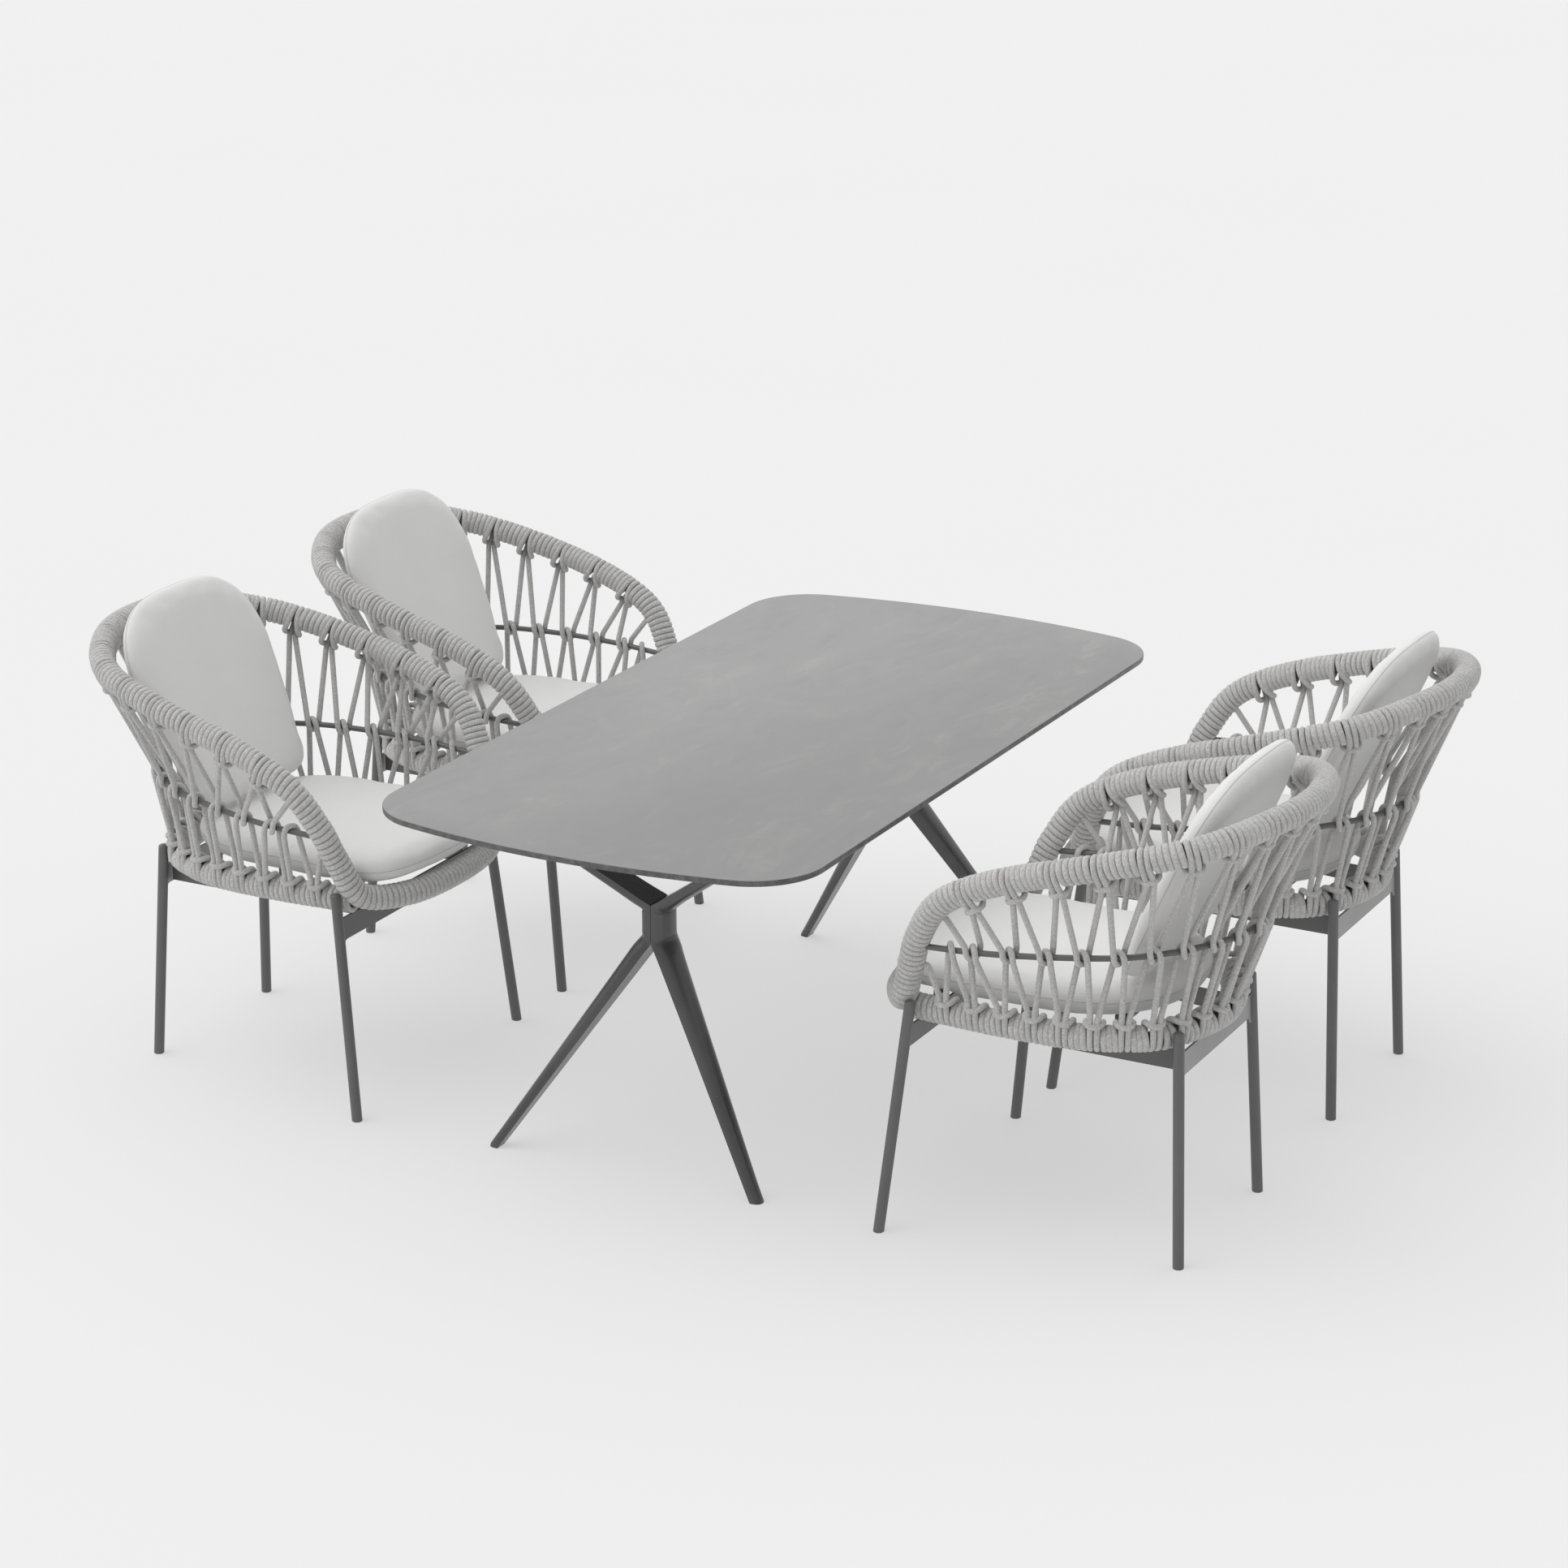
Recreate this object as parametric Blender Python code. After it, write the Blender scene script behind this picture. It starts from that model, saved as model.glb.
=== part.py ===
"""Patio dining set: a stone-topped table on two cast pedestals, and four rope armchairs with loose cushions.

Metres, +Z up. The origin is on the ground below the middle of the whole set. The table's length runs
along X. Two chairs stand on its +Y side and two on its -Y side, facing it. A chair is designed in its
own frame first: origin on the ground between its legs, +Y to the front, +X to one side, and every
chair piece is then placed by its chair's empty.
"""

import math

import bmesh
import bpy
import numpy as np
from mathutils import Vector

FIT_GAP = 0.0003
SHARP_ANGLE = math.radians(40)

# Table
TABLE_LENGTH = 1.862
TABLE_WIDTH = 0.954
TABLE_HEIGHT = 0.750
TOP_THICKNESS = 0.012
TOP_END_BOW_RADIUS = 1.70
TOP_CORNER_RADIUS = 0.150
TOP_CHAMFER = 0.0015
CORNER_STEPS = 6
BOW_STEPS = 5

BACKING_INSET = 0.130
BACKING_BAR_WIDTH = 0.040
BACKING_THICKNESS = 0.008
PLATE_LENGTH = 0.120
PLATE_THICKNESS = 0.006

PEDESTAL_FOOT_X = TABLE_LENGTH / 2 - 0.250
PEDESTAL_FOOT_Y = 0.301
PEDESTAL_ARM_X = TABLE_LENGTH / 2 - 0.291
PEDESTAL_ARM_Y = 0.285
KNUCKLE_X = TABLE_LENGTH / 2 - 0.399
KNUCKLE_TOP = 0.530
KNUCKLE_BOTTOM = 0.450
KNUCKLE_HALF_WIDTH = 0.030
KNUCKLE_DEPTH = 0.072
ARM_END_SIZE = (0.026, 0.052)
FOOT_SIZE = (0.022, 0.030)
CASTING_SIDES = 10
CASTING_ROUNDNESS = (0.7, 0.8)

# Chair shell: the wrapped hoop, the wrapped seat ring and the bare rail between them
TUBE_RADIUS = 0.0140
WRAP_RADIUS = 0.0265
MIDDLE_RAIL_RADIUS = 0.0060
WRAP_SLIT = 0.0040
TUBE_SIDES = 5
WRAP_SIDES = 7
CHORD_ERROR = 0.0045
LONGEST_CHORD = 0.40
CURVE_SAMPLES = 400
BEND_SAMPLES = 600
BEND_WINDOW = 6
TUBE_CLEARANCE = 0.001
RAIL_END_CLEARANCE = 0.005
CUTTER_REACH = 0.002

SEAT_RAIL_HEIGHT = 0.452
HOOP_HALF_WIDTH = 0.332
HOOP_FRONT = 0.345
HOOP_CORNER = (HOOP_HALF_WIDTH - 0.082, 0.272)
HOOP_REAR = -0.445
HOOP_REAR_HEIGHT = 0.900
ARM_HEIGHT = 0.768
ARM_FRONT_HEIGHT = 0.706

RING_HALF_WIDTH = HOOP_HALF_WIDTH - 0.078
RING_REAR = -0.285
RING_FRONT = 0.235

RAIL_FRONT_HEIGHT = 0.600
RAIL_REAR_HEIGHT = 0.638
RAIL_HALF_WIDTH = HOOP_HALF_WIDTH - 0.025
RAIL_REAR = -0.350

UPPER_START = HOOP_HALF_WIDTH + 0.168
LOWER_START = HOOP_HALF_WIDTH + 0.038
HOOP_KNOT_FIRST = HOOP_HALF_WIDTH + 0.276
RING_KNOT_FIRST = 0.060
RAIL_TURN_FIRST = 0.101
RAIL_TURN_LAST = 0.020
LOWER_TURN_FIRST = 0.055
UPPER_BAYS = 10
LACE_CROWDING = 0.13
LACE_HALF_WIDTH = 0.0046
LACE_BAR_HALF = 0.0130
LACE_RAIL_OUTSIDE = 0.0192
UPPER_RAIL_INSIDE = 0.0240
LOWER_RAIL_INSIDE = 0.0165
LACE_RAIL_PAST = 0.0148
LACE_LINK_SHIFT = 0.0240

# Chair legs and seat frame
LEG_RADIUS = 0.0110
LEG_SIDES = 8
LEG_GAP = 0.0006
LEG_CUT_START = 0.10
FOOT_CHAMFER = (0.0010, 0.0015)
FRONT_FOOT = (HOOP_HALF_WIDTH - 0.016, 0.289)
FRONT_LEG_TOP = (HOOP_HALF_WIDTH - 0.042, 0.238, 0.480)
REAR_FOOT = (RING_HALF_WIDTH - 0.052, -0.289)
REAR_LEG_TOP = (RING_HALF_WIDTH - 0.074, -0.266, 0.470)
APRON_GAP = 0.002
APRON_HEIGHT = 0.045
APRON_THICKNESS = 0.005
APRON_WEB = 0.014
SIDE_RAIL_X = RING_HALF_WIDTH - 0.064
SIDE_RAIL_TAPER = 0.035
SIDE_RAIL_GAP = 0.0025
SIDE_RAIL_REAR_HEIGHT = 0.040
SIDE_RAIL_FRONT_HEIGHT = 0.024
SIDE_RAIL_THICKNESS = 0.005
DECK_SLATS = 3
DECK_SLAT_WIDTH = 0.030
DECK_SLAT_INSETS = (0.090, 0.110)
WEBBING_THICKNESS = 0.004
WEBBING_INSET = 0.035

# Cushions
SEAT_CUSHION_HALF_WIDTH = RING_HALF_WIDTH - 0.034
SEAT_CUSHION_FRONT = 0.332
SEAT_CUSHION_REAR = -0.235
SEAT_CUSHION_THICKNESS = 0.062
BACK_CUSHION_HALF_WIDTH = HOOP_HALF_WIDTH - 0.102
BACK_CUSHION_FOOT_HALF_WIDTH = HOOP_HALF_WIDTH - 0.134
BACK_CUSHION_HEIGHT = 0.470
BACK_CUSHION_THICKNESS = 0.056
BACK_CUSHION_CLEAR = 0.1600
BACK_CUSHION_LEAN = math.radians(25.2)
CUSHION_GAP = 0.0010

# Where the chairs stand: distance along the table, and of the middle of the legs from its centre line
LEFT_PITCH = 2 * HOOP_HALF_WIDTH + 0.162
RIGHT_PITCH = 2 * HOOP_HALF_WIDTH + 0.146
LEFT_PAIR = (0.021, 0.907)
RIGHT_PAIR = (0.028, -0.860)
CHAIR_PLACES = {
    "chair_1": (LEFT_PAIR[0] - LEFT_PITCH / 2, LEFT_PAIR[1]),
    "chair_2": (LEFT_PAIR[0] + LEFT_PITCH / 2, LEFT_PAIR[1]),
    "chair_3": (RIGHT_PAIR[0] - RIGHT_PITCH / 2, RIGHT_PAIR[1]),
    "chair_4": (RIGHT_PAIR[0] + RIGHT_PITCH / 2, RIGHT_PAIR[1]),
}
CHAIR_REACH = WRAP_RADIUS - HOOP_REAR

MATERIALS = {
    "ceramic_top": ((0.33, 0.335, 0.33), 0.42, 0.0),
    "cast_metal": ((0.075, 0.075, 0.078), 0.38, 0.6),
    "coated_metal": ((0.12, 0.12, 0.125), 0.42, 0.5),
    "rope": ((0.52, 0.52, 0.50), 0.85, 0.0),
    "webbing": ((0.06, 0.06, 0.06), 0.80, 0.0),
    "cushion_fabric": ((0.66, 0.66, 0.65), 0.90, 0.0),
}


def clear_scene():
    for obj in list(bpy.data.objects):
        bpy.data.objects.remove(obj, do_unlink=True)


def make_materials():
    for name, (colour, roughness, metallic) in MATERIALS.items():
        material = bpy.data.materials.new(name)
        material.use_nodes = True
        shader = material.node_tree.nodes["Principled BSDF"]
        shader.inputs["Base Color"].default_value = (*colour, 1.0)
        shader.inputs["Roughness"].default_value = roughness
        shader.inputs["Metallic"].default_value = metallic


def place(name, mesh, material, parent):
    """An object made from a mesh, with its material and its parent empty."""
    obj = bpy.data.objects.new(name, mesh)
    bpy.context.scene.collection.objects.link(obj)
    if not mesh.materials:
        mesh.materials.append(bpy.data.materials[material])
    obj.parent = parent
    return obj


def empty_at(name, x, y, turn):
    empty = bpy.data.objects.new(name, None)
    bpy.context.scene.collection.objects.link(empty)
    empty.location = (x, y, 0.0)
    empty.rotation_euler = (0.0, 0.0, turn)
    return empty


def mesh_from(bm, name, smooth=True):
    bmesh.ops.recalc_face_normals(bm, faces=bm.faces)
    mesh = bpy.data.meshes.new(name)
    bm.to_mesh(mesh)
    bm.free()
    if smooth:
        mesh.shade_smooth()
        mesh.set_sharp_from_angle(angle=SHARP_ANGLE)
    return mesh


def loft(bm, rings, joined=False):
    """Walls between rings of points, closed by end caps, or joined end to end into a loop."""
    loops = [[bm.verts.new(Vector(point)) for point in ring] for ring in rings]
    pairs = list(zip(loops, loops[1:]))
    if joined:
        pairs.append((loops[-1], loops[0]))
    for first, second in pairs:
        for i in range(len(first)):
            j = (i + 1) % len(first)
            bm.faces.new((first[i], first[j], second[j], second[i]))
    if not joined:
        bm.faces.new(loops[0][::-1])
        bm.faces.new(loops[-1])
    return loops


def mirrored(half):
    """Half a curve at x >= 0, followed back to front by its mirror image; they share the point at x = 0."""
    return list(half) + [(-x, y, z) for x, y, z in reversed(half)][1:]


def spline(points, closed):
    """A function of t in 0..1 that runs through the points at an even rate, as a Catmull-Rom curve."""
    knots = np.array(points, float)
    count = len(knots)
    spans = count if closed else count - 1

    def at(index):
        if closed:
            return knots[index % count]
        if index < 0:
            return 2 * knots[0] - knots[1]
        if index >= count:
            return 2 * knots[-1] - knots[-2]
        return knots[index]

    def raw(t):
        span = min(int(t * spans), spans - 1)
        u = t * spans - span
        a, b, c, d = (at(span + k) for k in (-1, 0, 1, 2))
        square = (2 * a - 5 * b + 4 * c - d) * u**2
        cube = (3 * b - a - 3 * c + d) * u**3
        return 0.5 * (2 * b + (c - a) * u + square + cube)

    track = np.array([raw(k / CURVE_SAMPLES) for k in range(CURVE_SAMPLES + 1)])
    lengths = np.concatenate([[0.0], np.cumsum(np.linalg.norm(np.diff(track, axis=0), axis=1))])

    def even(t):
        return np.array([np.interp(t * lengths[-1], lengths, track[:, axis]) for axis in range(3)])

    return even


def length_of(curve):
    track = np.array([curve(t) for t in np.linspace(0, 1, CURVE_SAMPLES)])
    return np.linalg.norm(np.diff(track, axis=0), axis=1).sum()


def unit(vector):
    return vector / np.linalg.norm(vector)


def bend_steps(curve, start, end):
    """Values of t from start to end, spaced so that the chords stay within CHORD_ERROR of the curve."""
    ts = np.linspace(start, end, BEND_SAMPLES)
    track = np.array([curve(t) for t in ts])
    steps = np.diff(track, axis=0)
    size = np.linalg.norm(steps, axis=1)
    turns = steps / size[:, None]
    bend = np.concatenate([[0.0], np.arccos(np.clip((turns[1:] * turns[:-1]).sum(axis=1), -1, 1))])
    window = np.full(2 * BEND_WINDOW + 1, 1 / (2 * BEND_WINDOW + 1))
    smooth = np.convolve(np.pad(bend, BEND_WINDOW, mode="edge"), window, mode="valid")
    cost = np.cumsum(np.sqrt(smooth * size / (8 * CHORD_ERROR)) + size / LONGEST_CHORD)
    count = max(2, math.ceil(cost[-1]))
    return np.interp(np.linspace(0, cost[-1], count + 1), np.concatenate([[0.0], cost]), ts)


def heading(curve, t):
    """The curve's direction at t."""
    step = 5e-4
    t = min(max(t, step), 1 - step)
    return unit(curve(t + step) - curve(t - step))


def tube_rings(curve, ts, radius, sides):
    """Rings of points round a curve, carried along it without twist."""
    rings = []
    normal = None
    for t in ts:
        along = heading(curve, t)
        if normal is None:
            normal = unit(np.cross(along, (0.0, 0.0, 1.0)))
        normal = unit(normal - along * normal.dot(along))
        across = np.cross(along, normal)
        angles = [2 * math.pi * (k + 0.5) / sides for k in range(sides)]
        rings.append([curve(t) + radius * (math.cos(a) * normal + math.sin(a) * across) for a in angles])
    return rings


def tube_mesh(name, curve, ts, radius, sides):
    bm = bmesh.new()
    loft(bm, tube_rings(curve, ts, radius, sides))
    return mesh_from(bm, name)


def sleeve_mesh(name, curve, ts, outer, inner, outer_sides):
    """A sleeve open at both ends, which lets the tube inside it pass."""
    bm = bmesh.new()
    walls = []
    for radius in (outer, inner):
        rings = tube_rings(curve, ts, radius, outer_sides)
        walls.append([[bm.verts.new(Vector(point)) for point in ring] for ring in rings])
    for wall in walls:
        for first, second in zip(wall, wall[1:]):
            for i in range(outer_sides):
                j = (i + 1) % outer_sides
                bm.faces.new((first[i], first[j], second[j], second[i]))
    for end in (0, -1):
        for i in range(outer_sides):
            j = (i + 1) % outer_sides
            bm.faces.new((walls[0][end][i], walls[0][end][j], walls[1][end][j], walls[1][end][i]))
    return mesh_from(bm, name)


def box(bm, low, high):
    corners = [(x, y, z) for z in (low[2], high[2]) for x, y in
               ((low[0], low[1]), (high[0], low[1]), (high[0], high[1]), (low[0], high[1]))]
    loft(bm, [corners[:4], corners[4:]])


def combined(name, base, others, operation):
    """The base mesh with the other meshes joined to it or cut from it, as one mesh."""
    helper = bpy.data.objects.new(name + "_base", base)
    bpy.context.scene.collection.objects.link(helper)
    tools = []
    for index, mesh in enumerate(others):
        tool = bpy.data.objects.new(f"{name}_tool_{index}", mesh)
        bpy.context.scene.collection.objects.link(tool)
        modifier = helper.modifiers.new(f"step_{index}", "BOOLEAN")
        modifier.operation = operation
        modifier.object = tool
        tools.append(tool)
    bpy.context.view_layer.update()
    graph = bpy.context.evaluated_depsgraph_get()
    result = bpy.data.meshes.new_from_object(helper.evaluated_get(graph))
    result.name = name
    for obj in [helper, *tools]:
        bpy.data.objects.remove(obj, do_unlink=True)
    return result


# ---------------------------------------------------------------- table


def top_outline(inset):
    """The table top's plan: straight long sides, bowed ends and round corners."""
    bow = TOP_END_BOW_RADIUS - inset
    corner = TOP_CORNER_RADIUS - inset
    bow_x = TABLE_LENGTH / 2 - TOP_END_BOW_RADIUS
    corner_y = TABLE_WIDTH / 2 - TOP_CORNER_RADIUS
    corner_x = bow_x + math.sqrt((TOP_END_BOW_RADIUS - TOP_CORNER_RADIUS) ** 2 - corner_y**2)
    meet = math.atan2(corner_y, corner_x - bow_x)
    quarter = [(bow_x + bow * math.cos(a), bow * math.sin(a)) for a in np.linspace(0, meet, BOW_STEPS)[:-1]]
    quarter += [(corner_x + corner * math.cos(a), corner_y + corner * math.sin(a))
                for a in np.linspace(meet, math.pi / 2, CORNER_STEPS + 1)]
    upper = quarter + [(-x, y) for x, y in reversed(quarter)]
    return upper + [(x, -y) for x, y in reversed(upper[1:-1])]


def top_mesh():
    low = TABLE_HEIGHT - TOP_THICKNESS
    levels = (
        (low, TOP_CHAMFER), (low + TOP_CHAMFER, 0),
        (TABLE_HEIGHT - TOP_CHAMFER, 0), (TABLE_HEIGHT, TOP_CHAMFER),
    )
    bm = bmesh.new()
    loft(bm, [[(x, y, z) for x, y in top_outline(inset)] for z, inset in levels])
    return mesh_from(bm, "table_top")


def backing_mesh():
    """A flat bar frame bonded under the top, with its two cross bars over the pedestals."""
    high = TABLE_HEIGHT - TOP_THICKNESS - FIT_GAP
    low = high - BACKING_THICKNESS
    half_x = TABLE_LENGTH / 2 - BACKING_INSET
    half_y = TABLE_WIDTH / 2 - BACKING_INSET
    cut = BACKING_BAR_WIDTH
    bm = bmesh.new()
    rings = []
    for inset, z in ((0.0, high), (0.0, low), (cut, low), (cut, high)):
        x, y = half_x - inset, half_y - inset
        rings.append([(-x, -y, z), (x, -y, z), (x, y, z), (-x, y, z)])
    loft(bm, rings, joined=True)
    frame = mesh_from(bm, "backing_frame", smooth=False)
    bars = []
    for side in (-1, 1):
        bm = bmesh.new()
        x = side * PEDESTAL_ARM_X
        box(bm, (x - cut / 2, cut / 2 - half_y, low), (x + cut / 2, half_y - cut / 2, high))
        bars.append(mesh_from(bm, "cross_bar", smooth=False))
    return combined("backing_frame", frame, bars, "UNION")


def plate_mesh():
    """The plate that a pedestal's two arms are screwed to."""
    high = TABLE_HEIGHT - TOP_THICKNESS - BACKING_THICKNESS - 2 * FIT_GAP
    half_y = TABLE_WIDTH / 2 - BACKING_INSET
    bm = bmesh.new()
    box(bm, (-PLATE_LENGTH / 2, -half_y, high - PLATE_THICKNESS), (PLATE_LENGTH / 2, half_y, high))
    return mesh_from(bm, "mounting_plate", smooth=False)


def casting_section(inner, outward, depth_axis, width, depth):
    """A section with a flat inner side and a rounded outer side."""
    points = []
    for k in range(CASTING_SIDES):
        angle = math.pi * k / (CASTING_SIDES - 1) - math.pi / 2
        out = width * abs(math.cos(angle)) ** CASTING_ROUNDNESS[0]
        side = 0.5 * depth * math.copysign(abs(math.sin(angle)) ** CASTING_ROUNDNESS[1], math.sin(angle))
        points.append(inner + outward * out + depth_axis * side)
    return points


def casting_mesh():
    """Half a pedestal: an arm up to the plate, a short upright knuckle and a leg down to the ground.

    It is drawn for the +X end and the +Y side, with the knuckle's flat face on the plane y = 0.
    """
    arm_top = TABLE_HEIGHT - TOP_THICKNESS - BACKING_THICKNESS - PLATE_THICKNESS - 3 * FIT_GAP
    arm_out = unit(np.array([0.0, arm_top - KNUCKLE_TOP, -PEDESTAL_ARM_Y]))
    leg_out = unit(np.array([0.0, KNUCKLE_BOTTOM, PEDESTAL_FOOT_Y]))
    side = np.array([0.0, 1.0, 0.0])
    deep = np.array([1.0, 0.0, 0.0])
    face = FIT_GAP / 2

    def between(start, end, share):
        return np.array(start) * (1 - share) + np.array(end) * share

    knuckle_high = (KNUCKLE_X, face, KNUCKLE_TOP)
    knuckle_low = (KNUCKLE_X, face, KNUCKLE_BOTTOM)
    arm_end = (PEDESTAL_ARM_X, PEDESTAL_ARM_Y - ARM_END_SIZE[0] / 2, arm_top)
    foot = (PEDESTAL_FOOT_X, PEDESTAL_FOOT_Y - FOOT_SIZE[0] / 2, 0.0)
    half = KNUCKLE_HALF_WIDTH
    stations = [
        (arm_end, side, ARM_END_SIZE[0], ARM_END_SIZE[1]),
        (between(arm_end, knuckle_high, 0.12), arm_out, half * 0.75, ARM_END_SIZE[1]),
        (between(arm_end, knuckle_high, 0.80), arm_out, half * 0.90, KNUCKLE_DEPTH * 0.92),
        (knuckle_high, unit(arm_out + side), half * 1.22, KNUCKLE_DEPTH),
        (between(knuckle_high, knuckle_low, 0.45), side, half, KNUCKLE_DEPTH),
        (between(knuckle_high, knuckle_low, 0.75), side, half, KNUCKLE_DEPTH),
        (knuckle_low, unit(leg_out + side), half * 1.12, KNUCKLE_DEPTH),
        (between(knuckle_low, foot, 0.10), leg_out, half * 1.10, KNUCKLE_DEPTH * 0.92),
        (between(knuckle_low, foot, 0.95), leg_out, FOOT_SIZE[0] * 0.95, FOOT_SIZE[1] * 1.08),
        (foot, side, FOOT_SIZE[0], FOOT_SIZE[1]),
    ]
    bm = bmesh.new()
    loft(bm, [casting_section(np.array(at), out, deep, width, depth) for at, out, width, depth in stations])
    return mesh_from(bm, "pedestal_casting")


def build_table(table):
    place("table_top", top_mesh(), "ceramic_top", table)
    place("backing_frame", backing_mesh(), "coated_metal", table)
    plate = plate_mesh()
    casting = casting_mesh()
    for end, x_sign in (("near", -1), ("far", 1)):
        place(f"{end}_mounting_plate", plate, "coated_metal", table).location.x = x_sign * PEDESTAL_ARM_X
        for side, y_sign in (("left", 1), ("right", -1)):
            half = place(f"{end}_pedestal_{side}", casting, "cast_metal", table)
            half.scale = (x_sign, y_sign, 1)


# ---------------------------------------------------------------- chair


def hoop_half():
    """The hoop's centre line on the +X side, from the middle of its front rail to the middle of the back."""
    corner_x, corner_y = HOOP_CORNER
    rise = ARM_FRONT_HEIGHT - SEAT_RAIL_HEIGHT
    back = HOOP_REAR_HEIGHT - ARM_HEIGHT
    return [
        (0.0, HOOP_FRONT, SEAT_RAIL_HEIGHT),
        (corner_x * 0.60, HOOP_FRONT - 0.020, SEAT_RAIL_HEIGHT),
        (corner_x, corner_y, SEAT_RAIL_HEIGHT + rise * 0.07),
        (HOOP_HALF_WIDTH - 0.048, corner_y - 0.032, SEAT_RAIL_HEIGHT + rise * 0.38),
        (HOOP_HALF_WIDTH - 0.026, corner_y - 0.058, SEAT_RAIL_HEIGHT + rise * 0.67),
        (HOOP_HALF_WIDTH - 0.005, corner_y - 0.117, ARM_FRONT_HEIGHT),
        (HOOP_HALF_WIDTH, 0.030, ARM_HEIGHT),
        (HOOP_HALF_WIDTH - 0.010, HOOP_REAR + 0.290, ARM_HEIGHT + back * 0.41),
        (HOOP_HALF_WIDTH - 0.062, HOOP_REAR + 0.125, ARM_HEIGHT + back * 0.73),
        (HOOP_HALF_WIDTH - 0.187, HOOP_REAR + 0.030, ARM_HEIGHT + back * 0.95),
        (0.0, HOOP_REAR, HOOP_REAR_HEIGHT),
    ]


def hoop_curve():
    """The closed hoop: t runs from the middle of the front rail round the +X side."""
    half = hoop_half()
    return spline(mirrored(half)[:-1], closed=True)


def ring_curve():
    """The seat ring, a U open to the front: t runs from the +X front end round the rear."""
    half = [
        (RING_HALF_WIDTH - 0.010, RING_FRONT, SEAT_RAIL_HEIGHT),
        (RING_HALF_WIDTH, 0.080, SEAT_RAIL_HEIGHT),
        (RING_HALF_WIDTH - 0.005, -0.069, SEAT_RAIL_HEIGHT),
        (RING_HALF_WIDTH - 0.033, RING_REAR + 0.125, SEAT_RAIL_HEIGHT),
        (RING_HALF_WIDTH - 0.094, RING_REAR + 0.047, SEAT_RAIL_HEIGHT),
        (0.0, RING_REAR, SEAT_RAIL_HEIGHT),
    ]
    return spline(mirrored(half), closed=False)


def rail_curve():
    """The bare middle rail, welded to the hoop's front rises: t runs from the +X end round the rear."""
    rise = RAIL_REAR_HEIGHT - RAIL_FRONT_HEIGHT
    half = [
        (RAIL_HALF_WIDTH - 0.003, 0.207, RAIL_FRONT_HEIGHT),
        (RAIL_HALF_WIDTH, 0.075, RAIL_FRONT_HEIGHT + rise * 0.24),
        (RAIL_HALF_WIDTH - 0.021, -0.065, RAIL_FRONT_HEIGHT + rise * 0.50),
        (RAIL_HALF_WIDTH - 0.068, RAIL_REAR + 0.154, RAIL_FRONT_HEIGHT + rise * 0.71),
        (RAIL_HALF_WIDTH - 0.167, RAIL_REAR + 0.053, RAIL_FRONT_HEIGHT + rise * 0.90),
        (0.0, RAIL_REAR, RAIL_REAR_HEIGHT),
    ]
    return spline(mirrored(half), closed=False)


def clear_start(curve, other, distance):
    """The first t at which the curve is at least this far from the whole of another curve."""
    track = np.array([other(t) for t in np.linspace(0, 1, CURVE_SAMPLES)])
    for t in np.linspace(0, 0.5, CURVE_SAMPLES + 1):
        if np.linalg.norm(track - curve(t), axis=1).min() >= distance:
            return t
    return 0.5


def leg_points(foot, top, sign):
    return np.array([sign * foot[0], foot[1], 0.0]), np.array([sign * top[0], top[1], top[2]])


def leg_rings(foot, top, sign, extra):
    """A round leg with flat foot and a domed top, grown by a clearance where it is a cutter."""
    low, high = leg_points(foot, top, sign)
    along = unit(high - low)
    radius = LEG_RADIUS + extra
    inset, rise = FOOT_CHAMFER
    levels = [(0.0, radius - inset), (rise, radius)] if extra == 0 else [(LEG_CUT_START, radius)]
    length = high[2] + extra
    for below, share in ((0.45, 1.0), (0.10, 0.75), (0.0, 0.35)):
        levels.append((length - radius * below, radius * share))
    rings = []
    for level, size in levels:
        centre = low + along * (level / along[2])
        rings.append([centre + np.array([size * math.cos(a), size * math.sin(a), 0.0])
                      for a in np.arange(LEG_SIDES) * 2 * math.pi / LEG_SIDES])
    return rings


def leg_mesh(name, foot, top, sign, extra=0.0):
    bm = bmesh.new()
    loft(bm, leg_rings(foot, top, sign, extra))
    return mesh_from(bm, name)


def leg_frame_mesh(name, foot, top):
    """Two legs welded to the flat apron between them, with a small web at each end below it."""
    low, high = leg_points(foot, top, 1)
    apron_top = SEAT_RAIL_HEIGHT - WRAP_RADIUS - APRON_GAP
    apron_low = apron_top - APRON_HEIGHT
    web = APRON_WEB

    def leg_at(z):
        return low + (high - low) * (z / high[2])

    half_top = leg_at(apron_top)
    half_low = leg_at(apron_low)
    half_web = leg_at(apron_low - web)
    sunk = LEG_RADIUS * 0.4
    outline = [
        (half_top[0] - sunk, apron_top),
        (half_low[0] - sunk, apron_low),
        (half_web[0] - sunk, apron_low - web),
        (half_web[0] - LEG_RADIUS * 0.8, apron_low - web),
        (half_low[0] - LEG_RADIUS - web * 0.4, apron_low - web * 0.35),
        (half_low[0] - LEG_RADIUS - web, apron_low),
    ]
    outline += [(-x, z) for x, z in reversed(outline)]
    bm = bmesh.new()
    rings = []
    for side in (-1, 1):
        rings.append([(x, leg_at(z)[1] + side * APRON_THICKNESS / 2, z) for x, z in outline])
    loft(bm, rings)
    apron = mesh_from(bm, name + "_apron", smooth=False)
    legs = [leg_mesh(name + "_leg", foot, top, sign) for sign in (1, -1)]
    return combined(name, legs[0], [apron, legs[1]], "UNION")


def deck_levels():
    """Heights of the seat deck: the side rails' top edge and the slats' top."""
    rail_top = SEAT_RAIL_HEIGHT - WRAP_RADIUS - APRON_GAP
    slat_top = SEAT_RAIL_HEIGHT + WRAP_RADIUS - WEBBING_THICKNESS - FIT_GAP
    return rail_top, slat_top


def apron_y(foot, top, z):
    low, high = leg_points(foot, top, 1)
    return (low + (high - low) * (z / high[2]))[1]


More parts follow.
